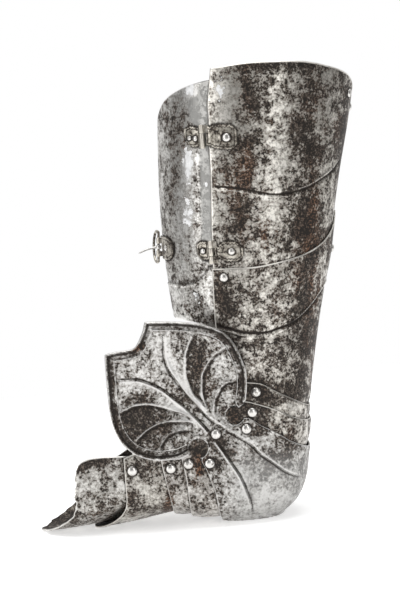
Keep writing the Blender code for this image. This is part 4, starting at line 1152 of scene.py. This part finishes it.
# %% Hinge rivets
HINGE_RIVETS = (
    ("upper_hinge_front_rivet", 20.5, 382.5, 4.0), ("upper_hinge_back_rivet_near", -8.0, 381.0, 2.5),
    ("upper_hinge_back_rivet_far", -14.0, 381.5, 2.2), ("lower_hinge_front_rivet", 17.0, 272.5, 3.2),
    ("lower_hinge_back_rivet", -8.5, 272.0, 2.6),
)  # name, distance from the axis (+ forward), height, head
LEAF_GRIP = LEAF_LIFT + PLATE + FIT
for rivet_name, away, height, head in HINGE_RIVETS:
    side, inward, body = (1, LAYER, "cuisse") if away > 0 else (-1, 2 * LAYER, "side_plate")
    spot, beside, above = (
        leaf_place(abs(away) + a, height + h, side, LEAF_LIFT - inward)
        for a, h in ((0, 0), (1, 0), (0, 2))
    )
    normal = np.cross(beside - spot, above - spot)
    normal *= -np.sign(normal[1])
    rivet(rivet_name, spot, normal, body, head, 1.3, LEAF_GRIP)

# %% [markdown]
# ## Buckle
#
# A strap once closed the thigh plates behind the leg. Its buckle is a half-round plate riveted to the
# side plate, a frame bent from wire and a tongue, both turning on one upright bar.

# %% Buckle plate
BUCKLE_HEIGHT, WIRE, TIP = 272.0, 1.3, 149.5
bar_foot = on_thigh(181.0, BUCKLE_HEIGHT, 3.2 - LAYER) * (1, 1, 0)


def buckle_bar(height):
    """A point of the upright bar."""
    return bar_foot + height * UPRIGHT


def buckle_slab():
    """A plate bent to the thigh from its round front end to the bar; a bead follows its border."""
    rows = ((TIP, 3.0), (153.0, 8.5), (159.0, 11.2), (168.0, 11.6), (177.5, 11.6))
    angle, across = np.meshgrid(
        spaced(40, 0.4) * 28.0 + TIP, spaced(30, 0.3) * 2 - 1, indexing="ij"
    )
    half = smooth(rows, angle)
    border = np.minimum((1 - np.abs(across)) * half, (angle - TIP) * 1.3 + 0.2)
    lift = bead(border, 0.4, 0.8, 1.2) - 0.4 * (1 - ease(0, 0.7, border))
    # hollow darkens the plate's rim and the hollow inside its bead: painted shade mixed with dirt.
    hollow = bead(border, 1.2, 0.6, 2.6) + 1.4 * (1 - ease(0.2, 0.6, border))
    height = BUCKLE_HEIGHT + half * across
    return fitting(
        lambda out: on_thigh(angle, height, LEAF_LIFT - 2 * LAYER + out), lift, hollow, 3
    )


shells = [buckle_slab()]
for low, high in ((262.5, 268.5), (275.5, 281.5)):
    middle = (low + high) / 2
    reach = on_thigh(175.5, middle, FIT + LEAF / 2 - 2 * LAYER)
    shells += [knuckle(buckle_bar, low, high, 2.3, WIRE + FIT),
               tab(buckle_bar, middle, reach, UPRIGHT, high - low - 1.0)]
forged("buckle_plate", shells, "side_plate", 0.1)

# %% Buckle frame and tongue
def one_long(steps):
    """Each step divided by its own length."""
    return steps / np.linalg.norm(steps, axis=-1, keepdims=True)


def tube(path, radii, square_to, loop=False, steps=20):
    """A round wire: each circle stands square to the path's direction, its radius from the list."""
    way = one_long(np.roll(path, -1, 0) - np.roll(path, 1, 0) if loop else np.gradient(path, axis=0))
    side = one_long(np.cross(way, square_to))
    over = np.cross(way, side)
    t = np.linspace(0, 2 * np.pi, steps + 1)[None, :, None]
    circles = np.cos(t) * side[:, None] + np.sin(t) * over[:, None]
    grid = path[:, None] + circles * radii[:, None, None]
    grid[:, -1] = grid[:, 0]
    if loop:
        return np.concatenate([grid, grid[:1]])
    caps = path[[0, -1], None] + 0 * grid[[0, -1]]
    return np.concatenate([caps[:1], grid, caps[1:]])


def wire_piece(name, shells):
    """Shells as one piece that turns with the body of its own name."""
    points, faces = together(shells)
    steel_piece(name + "_wire", points[:, :3], faces, name, name)


behind = one_long(np.array((-0.28, 0.96, 0)))
swing = np.radians(np.linspace(80, -80, 60))[:, None]
bow = (5 + 13 * np.cos(swing)) * behind + (BUCKLE_HEIGHT + 15.8 * np.sin(swing)) * UPRIGHT
straight = np.linspace(256.5, 287.5, 30)[:, None] * UPRIGHT
ring_path = buckle_bar(0) + np.concatenate([straight, bow])
ring_path = sum(np.roll(ring_path, shift, 0) for shift in (-1, 0, 1)) / 3
ring_wire = tube(ring_path, np.full(len(ring_path), WIRE), np.cross(behind, UPRIGHT), loop=True)
wire_piece("buckle_frame", [closed([ring_wire])])
share = np.linspace(0.12, 1.0, 30)[:, None]
droop = np.array((-20.0, -1.5, -6.5)) * share + 1.2 * UPRIGHT * np.sin(np.pi * share)
thinning = np.interp(share[:, 0], (0.12, 0.93, 1.0), (1.25, 0.75, 0.15))
pointed = closed([tube(buckle_bar(BUCKLE_HEIGHT) + droop, thinning, UPRIGHT)])
wire_piece("buckle_tongue", [knuckle(buckle_bar, 270.3, 273.7, 2.9, WIRE + FIT), pointed])
spot = on_thigh(161.0, BUCKLE_HEIGHT + 0.5, LEAF_LIFT - 2 * LAYER)
rivet("buckle_rivet", spot, thigh_normal(161.0, BUCKLE_HEIGHT), "side_plate", 2.8, 1.3, LEAF_GRIP)

# %% [markdown]
# ## Dark laps: damp and painted shadow
#
# Damp and old polish stay where plates overlap, and the covering edge shades the plate under it, so a
# dark line follows every covering edge and a dark ring every rivet: partly dirt, partly painted shadow.
# A dark line round each hinge leaf and the buckle plate is painted shadow. All are distances again: to
# the rim of the covering plate, to the rivet's head and to the leaf's rim.
# A painted line would have to be redrawn whenever a plate changes; a distance is simply measured anew.

# %% Mark the laps, the rings round the rivets and the leaves' outlines: painted shadow mixed with dirt
COVERS = {
    "upper_cuisse": ["lower_cuisse"], "side_plate_skin": ["upper_cuisse", "lower_cuisse"],
    "lower_cuisse": ["lame_a_band"], "lame_a_band": ["lame_b_band"],
    "lame_b_band": ["knee_cop_and_wing"], "lame_c_band": ["knee_cop_and_wing"],
    "lame_d_band": ["lame_c_band"], "shin_gutter": ["lame_d_band"],
    "greave_gutter": ["shin_gutter"], "knee_cop_and_wing": [],
}
LAP_WIDE, RING_WIDE, LEAF_WIDE = 2.4, 1.7, 2.0  # of the dark lines
leaf_rim = np.concatenate(leaf_rims)
for name, covers in COVERS.items():
    points = surfaces[name][0]
    lap = np.zeros(len(points))
    for cover in covers:
        over, faces = surfaces[cover]
        lap = np.maximum(lap, bead(nearest(points, over[rim_points(faces)]), 1, LAP_WIDE))
    # A dark ring round each rivet head: painted shade with dirt.
    for x, y, z, head in spots:
        reach = np.sqrt(((points - (x, y, z)) ** 2).sum(1))
        ring = bead(np.maximum(reach - head, 0), 1, RING_WIDE) * (reach < MARK_REACH)
        lap = np.maximum(lap, ring)
    # A dark outline round the hinge leaves and the buckle plate: painted shadow.
    if "cuisse" in name or "side" in name:
        lap = np.maximum(lap, bead(nearest(points, leaf_rim), 1, LEAF_WIDE))
    add_mark(made[name].data, "lap", lap)
    print(f"{name}: {(lap > 0.5).mean():.1%} of its points lie in a lap or a ring")

# %% The side plate's plain strip beside the front plate, wider above the upper hinge
side_points, main = surfaces["side_plate_skin"][0], surfaces["upper_cuisse"][0]
up = side_points[:, 2]
width = 12.0 + 11.0 * ease(390, 400, up) * (1 - ease(417, 424, up))
back_edge = main[np.abs(main[:, 0] - main[:, 0].min()) < 30][::7]
strip = nearest(side_points, back_edge, 40.0)
plain_strip = (1 - ease(-2.0, 2.0, strip - width)) * ease(258, 266, up)
add_mark(made["side_plate_skin"].data, "plain", plain_strip)
print(f"{plain_strip.mean():.1%} of the side plate is plain")

# %% [markdown]
# ## Steels
#
# Bare steel is a mirror blurred by its scratches. Centuries of damp leave a brown-black skin in
# patches with ragged borders, over pits of a millimetre or less; polishing brings bright steel back on
# every proud place. The colour also paints light and shade: edges and crests are brightened as painted
# highlight, hollows, laps and rivet rings are darkened as painted shade, and white patches are painted
# highlight. So one pattern decides where the skin is, and colour, gloss and depth follow it.
# Noise at four sizes is added to the marks on the points, and a narrow step cuts the sum into patches.

# %% Small helpers for material nodes
BLOTCH = 600.0  # a noise's scale times the size of its blotches in millimetres


def new_material(name):
    """A material, its node tree and its shader."""
    material = bpy.data.materials.new(name)
    material.use_nodes = True
    return material, material.node_tree, material.node_tree.nodes["Principled BSDF"]


def put(tree, kind, sockets, out=0, **settings):
    """Adds one node. sockets gives each input a number, a colour or another node's output."""
    node = tree.nodes.new(kind)
    for key, value in settings.items():
        setattr(node, key, value)
    for key, value in sockets.items():
        if isinstance(value, bpy.types.NodeSocket):
            tree.links.new(value, node.inputs[key])
        else:
            node.inputs[key].default_value = value
    return node.outputs[out]


def weighted(tree, *pairs):
    """The sum of value * weight over the pairs, one multiply-add node each."""
    total = 0.0
    for value, weight in pairs:
        sockets = {0: value, 1: weight, 2: total}
        total = put(tree, "ShaderNodeMath", sockets, operation="MULTIPLY_ADD")
    return total


def step_between(tree, value, low, high, start=0.0, end=1.0):
    """A smooth step: start below low, end above high."""
    sockets = {0: value, 1: low, 2: high, 3: start, 4: end}
    return put(tree, "ShaderNodeMapRange", sockets, interpolation_type="SMOOTHSTEP")


def mixed(tree, share, a, b):
    """Two colours mixed by a share; a colour is three numbers or another node's output."""
    a, b = ((*colour, 1) if isinstance(colour, tuple) else colour for colour in (a, b))
    return put(tree, "ShaderNodeMix", {0: share, 6: a, 7: b}, out=2, data_type="RGBA")


def noise(tree, place, size, detail, rough):
    """Noise whose blotches are about the size given in millimetres."""
    sockets = {"Vector": place, "Scale": BLOTCH / size, "Detail": detail, "Roughness": rough}
    return put(tree, "ShaderNodeTexNoise", sockets)


def finish_steel(tree, shader, colour, roughness, depth, strength, distance):
    """Colour, roughness and a bump as deep as given go to the shader."""
    sockets = {"Height": depth, "Strength": strength, "Distance": distance}
    bumped = put(tree, "ShaderNodeBump", sockets)
    for value, socket in ((colour, "Base Color"), (roughness, "Roughness"), (bumped, "Normal")):
        tree.links.new(value, shader.inputs[socket])


print("A blotch of 5 mm is noise at a scale of", BLOTCH / 5)

# %% Worn steel for the plates
MARKS = ("edge", "hollow", "crest", "stain_and_shading", "lap", "plain", "rust", "satin", "glare_patch")
BRIGHT, DULL = (0.84, 0.81, 0.755), (0.42, 0.395, 0.355)
BROWN, ORANGE, BLACK = (0.125, 0.100, 0.081), (0.26, 0.125, 0.065), (0.020, 0.016, 0.013)
SATIN, GLARE_WHITE, PLAIN, SHADE_AND_DAMP_BLACK = (0.47, 0.47, 0.46), (0.94,) * 3, (0.36, 0.355, 0.34), (0.030, 0.024, 0.020)


def worn_steel(name, skin, tint=(1, 1, 1), shift=(0, 0, 0), gloss=0.36, inside=False, fine=0.0):
    """Bright steel under a broken brown-black skin; skin moves how much of it there is.

    The sum of noises and marks passes from bright to dull steel below 2.6 - skin, and to skin above.
    fine moves weight from the blots to the specks, so that the skin is broken up in smaller pieces.
    The inside was never polished and has no marks.
    """
    material, tree, shader = new_material(name)
    place = put(tree, "ShaderNodeTexCoord", {}, out=3)
    place = put(tree, "ShaderNodeMapping", {"Vector": place, "Location": shift})
    clouds, blots = noise(tree, place, 20, 3, 0.55), noise(tree, place, 5.0, 6, 0.75)
    specks, grain = noise(tree, place, 1.6, 3, 0.6), noise(tree, place, 1.0, 2, 0.5)
    edge, hollow, crest, stain_and_shading_level, lap, plain, rusty, satin, glare_patch = (
        0.0 if inside else put(tree, "ShaderNodeAttribute", {}, out=2, attribute_name=mark)
        for mark in MARKS
    )
    # Hollows and laps gather more of the dark skin, partly as painted shade; edges and crests gather
    # less.
    sum_up = weighted(
        tree, (clouds, 1.15), (blots, 2.05 - fine), (specks, 1.4 + fine), (grain, 0.6),
        (stain_and_shading_level, 0.45), (hollow, 0.15), (crest, -0.15), (edge, -0.35), (lap, 0.15),
    )
    middle = 2.6 - skin
    grey = step_between(tree, sum_up, middle - 0.5, middle)
    brown = step_between(tree, sum_up, middle - 0.06, middle + 0.2)
    deep = weighted(tree, (sum_up, 0.8), (grain, 1.8), (specks, 0.8))
    black = step_between(tree, deep, 0.8 * middle + 1.2, 0.8 * middle + 1.8)
    upright = put(tree, "ShaderNodeMapping", {"Vector": place, "Scale": (1, 1, 0.25)})
    streaks = weighted(tree, (rusty, 0.5), (noise(tree, upright, 9, 3, 0.5), 1.0))
    rust = mixed(tree, step_between(tree, streaks, 0.5, 1.1), BROWN, ORANGE)
    # Edges and crests are made brighter than bare steel: partly polish, partly painted highlight.
    shine = weighted(tree, (edge, 1.5), (crest, 0.6), (blots, 0.9))
    # White patches, duller and less metallic: painted highlight in place of reflections of the lights.
    glaring = weighted(tree, (glare_patch, 1.0), (blots, 2.2), (specks, 0.8))
    painted_glare = step_between(tree, glaring, 2.12, 2.2)
    # Hollows, laps and the rings round the rivets turn nearly black: painted shade mixed with damp and
    # dirt.
    damp_and_shade = weighted(tree, (hollow, 0.7), (lap, 0.9), (blots, 0.6), (rusty, -0.7))
    shaded_and_damp = step_between(tree, damp_and_shade, 0.5, 1.2, 0.0, 0.88)
    bright, dull = (tuple(a * b for a, b in zip(colour, tint)) for colour in (BRIGHT, DULL))
    colour = mixed(tree, grey, bright, dull)
    for share, over in (
        (brown, mixed(tree, black, rust, BLACK)),
        (weighted(tree, (satin, 0.42)), SATIN),
        (step_between(tree, shine, 0.95, 1.4), tuple(1.05 * value for value in bright)),
        (painted_glare, GLARE_WHITE),
        (plain, PLAIN),
        (step_between(tree, glare_patch, 1.05, 1.2), GLARE_WHITE),
        (shaded_and_damp, SHADE_AND_DAMP_BLACK),
    ):
        colour = mixed(tree, share, colour, over)
    metal = weighted(tree, (brown, -0.45), (painted_glare, -0.5), (1.0, 1.0))
    tree.links.new(metal, shader.inputs["Metallic"])
    finish_steel(
        tree, shader, colour,
        weighted(tree, (brown, 0.2), (shaded_and_damp, 0.15), (blots, 0.16), (1.0, gloss - 0.08)),
        weighted(tree, (brown, -0.5), (specks, 0.35), (blots, 0.3)), 0.4, 0.0006,
    )
    return material


PLATE_STEELS = {
    "upper_cuisse": worn_steel("upper_thigh_steel", 0.0, shift=(0.1, 0, 0)),
    "lower_cuisse": worn_steel("lower_thigh_steel", 0.1, (0.92, 0.92, 0.92), (0.2, 0.3, 0)),
    "side_plate_skin": worn_steel("side_plate_steel", -0.08, (1.0, 1.02, 1.06), (0.4, 0, 0.1)),
    # The knee's darker tint is painted shade: it darkens the knee, whose faces the lamps light more
    # brightly.
    "knee_cop_and_wing": worn_steel("knee_steel", 0.0, (0.8, 0.815, 0.85), (0, 0.2, 0.3), fine=0.45),
    "lame_a_band": worn_steel("first_lame_steel", 0.02, (0.85, 0.85, 0.85), (0.6, 0, 0)),
    "lame_b_band": worn_steel("second_lame_steel", 0.02, (0.85, 0.85, 0.85), (0, 0.6, 0)),
    "lame_c_band": worn_steel("third_lame_steel", -0.02, (0.8, 0.8, 0.82), (0, 0, 0.6)),
    "lame_d_band": worn_steel("fourth_lame_steel", -0.02, (0.8, 0.8, 0.82), (0.7, 0.1, 0)),
    "shin_gutter": worn_steel("shin_steel", 0.0, (0.8, 0.8, 0.8), (0.1, 0.7, 0)),
    "greave_gutter": worn_steel("greave_steel", -0.05, (0.82, 0.83, 0.85), (0.1, 0, 0.7)),
}
inside_steel = worn_steel(
    "unpolished_inside_steel", 0.35, (0.6, 0.58, 0.55), (0.3, 0.3, 0.3), 0.5, inside=True
)
forged_steel = worn_steel("forged_hinge_steel", 0.0, (0.8, 0.78, 0.74))
print(len(PLATE_STEELS), "plates have a steel of their own")

# %% [markdown]
# ## Polished steel
#
# Rivets, pins and wire are small and turn or rub when the knee moves, so they stay nearly bare. Their
# steel is one bright colour with a few pits, and a low roughness that keeps the heads sparkling.

# %% Polished steel, and who wears what
def polished_steel(name):
    """Nearly bare steel: a low gloss with a few dark pits in it."""
    material, tree, shader = new_material(name)
    shader.inputs["Metallic"].default_value = 1.0
    place = put(tree, "ShaderNodeTexCoord", {}, out=3)
    blots, specks = noise(tree, place, 3.5, 5, 0.65), noise(tree, place, 1.2, 3, 0.6)
    pits = step_between(tree, weighted(tree, (blots, 1.0), (specks, 0.5)), 0.82, 0.98)
    finish_steel(
        tree, shader, mixed(tree, pits, (0.74, 0.72, 0.69), (0.12, 0.10, 0.08)),
        weighted(tree, (pits, 0.25), (blots, 0.12), (1.0, 0.24)),
        weighted(tree, (pits, -0.5), (specks, 0.2)), 0.3, 0.0004,
    )
    return material


rivet_steel = polished_steel("polished_rivet_steel")
for piece_name, piece in made.items():
    if piece_name in PLATE_STEELS:
        steels = [PLATE_STEELS[piece_name], inside_steel]
    else:
        steels = [forged_steel if piece_name.endswith(("forged", "frame_wire")) else rivet_steel]
    for steel in steels:
        piece.data.materials.append(steel)
print(len(made), "pieces have their steel")

# %% [markdown]
# ## Studio
#
# Polished metal shows the room more than itself. The floor is pale, the room is bright behind the
# harness and dim before it, so the limbs shine, and soft boxes stand where they light the thigh's
# middle.

# %% Floor
def pale_floor(radius=1.1, steps=96):
    """A round pale floor: one fan of triangles about its middle."""
    t = np.linspace(0, 2 * np.pi, steps, endpoint=False)
    circle = np.stack([radius * np.cos(t), radius * np.sin(t), 0 * t], 1)
    rim = np.arange(1, steps + 1)
    faces = np.stack([0 * rim, rim, np.roll(rim, -1)], 1)
    mesh = bpy.data.meshes.new("pale_floor")
    mesh.from_pydata([(0, 0, 0), *circle.tolist()], [], faces.tolist())
    paper, _, shader = new_material("pale_paper")
    shader.inputs["Base Color"].default_value = (0.9, 0.9, 0.9, 1)
    shader.inputs["Roughness"].default_value = 0.9
    shader.inputs["Emission Color"].default_value = (1, 1, 1, 1)
    shader.inputs["Emission Strength"].default_value = 0.5
    mesh.materials.append(paper)
    put_in_scene("pale_floor", mesh)
    print("The floor is a disc of", len(faces), "triangles")


pale_floor()

# %% Lights and room
AIM = Vector((-0.03, 0, 0.22))
DIM, FULL = 0.2, 0.85  # the room's light before and behind the harness


def soft_box(name, place, size, power):
    """An area light that faces the harness."""
    light = bpy.data.lights.new(name, "AREA")
    light.shape = "RECTANGLE"
    light.size, light.size_y = size
    light.energy = power
    lamp = put_in_scene(name, light)
    lamp.location = place
    lamp.rotation_euler = (AIM - Vector(place)).to_track_quat("-Z", "Y").to_euler()


soft_box("left_box", (-1.45, -1.15, 0.7), (0.7, 1.8), 10)
soft_box("right_box", (0.75, -1.9, 0.7), (0.55, 1.6), 7)
soft_box("top_box", (0.0, -0.2, 2.2), (1.6, 1.6), 30)
world = bpy.data.worlds.new("room")
world.use_nodes = True
tree = world.node_tree
room = tree.nodes["Background"]
direction = put(tree, "ShaderNodeTexCoord", {})
backward = put(tree, "ShaderNodeSeparateXYZ", {0: direction}, out=1)
tree.links.new(step_between(tree, backward, 0.0, 0.75, DIM, FULL), room.inputs[1])
room.inputs[0].default_value = (1, 1, 1, 1)
paper_white = put(tree, "ShaderNodeBackground", {0: (1, 1, 1, 1), 1: 1.0})
seen = put(tree, "ShaderNodeLightPath", {})
shown = put(tree, "ShaderNodeMixShader", {0: seen, 1: room.outputs[0], 2: paper_white})
tree.links.new(shown, tree.nodes["World Output"].inputs[0])
bpy.context.scene.world = world
bpy.context.scene.view_settings.view_transform = "Standard"
print("The room shines", DIM, "in front and", FULL, "behind")

# %% Camera
CAMERA_REACH, CAMERA_RISE, FRAME_WIDTH = 2200.0, 200.0, 400.0
SENSOR = 36.0
looked_at = np.array((-45.0, 0.0, 219.0))
pitch = math.asin(CAMERA_RISE / CAMERA_REACH)
eye = looked_at + CAMERA_REACH * np.array((0, -math.cos(pitch), math.sin(pitch)))
ahead = LEAN_TURN @ np.array((0, math.cos(pitch), -math.sin(pitch)))
right = LEAN_TURN @ np.array((1.0, 0, 0))
camera = put_in_scene("camera", bpy.data.cameras.new("camera"))
turn = Matrix(np.stack([right, np.cross(right, ahead), -ahead], 1).tolist()).to_4x4()
camera.matrix_world = Matrix.Translation(to_scene(eye)) @ turn
camera.data.sensor_fit = "HORIZONTAL"
camera.data.sensor_width = SENSOR
camera.data.lens = SENSOR * CAMERA_REACH / FRAME_WIDTH
camera.data.clip_start, camera.data.clip_end = 0.1, 20.0
bpy.context.scene.camera = camera
print("Camera at", [round(v, 3) for v in camera.location])
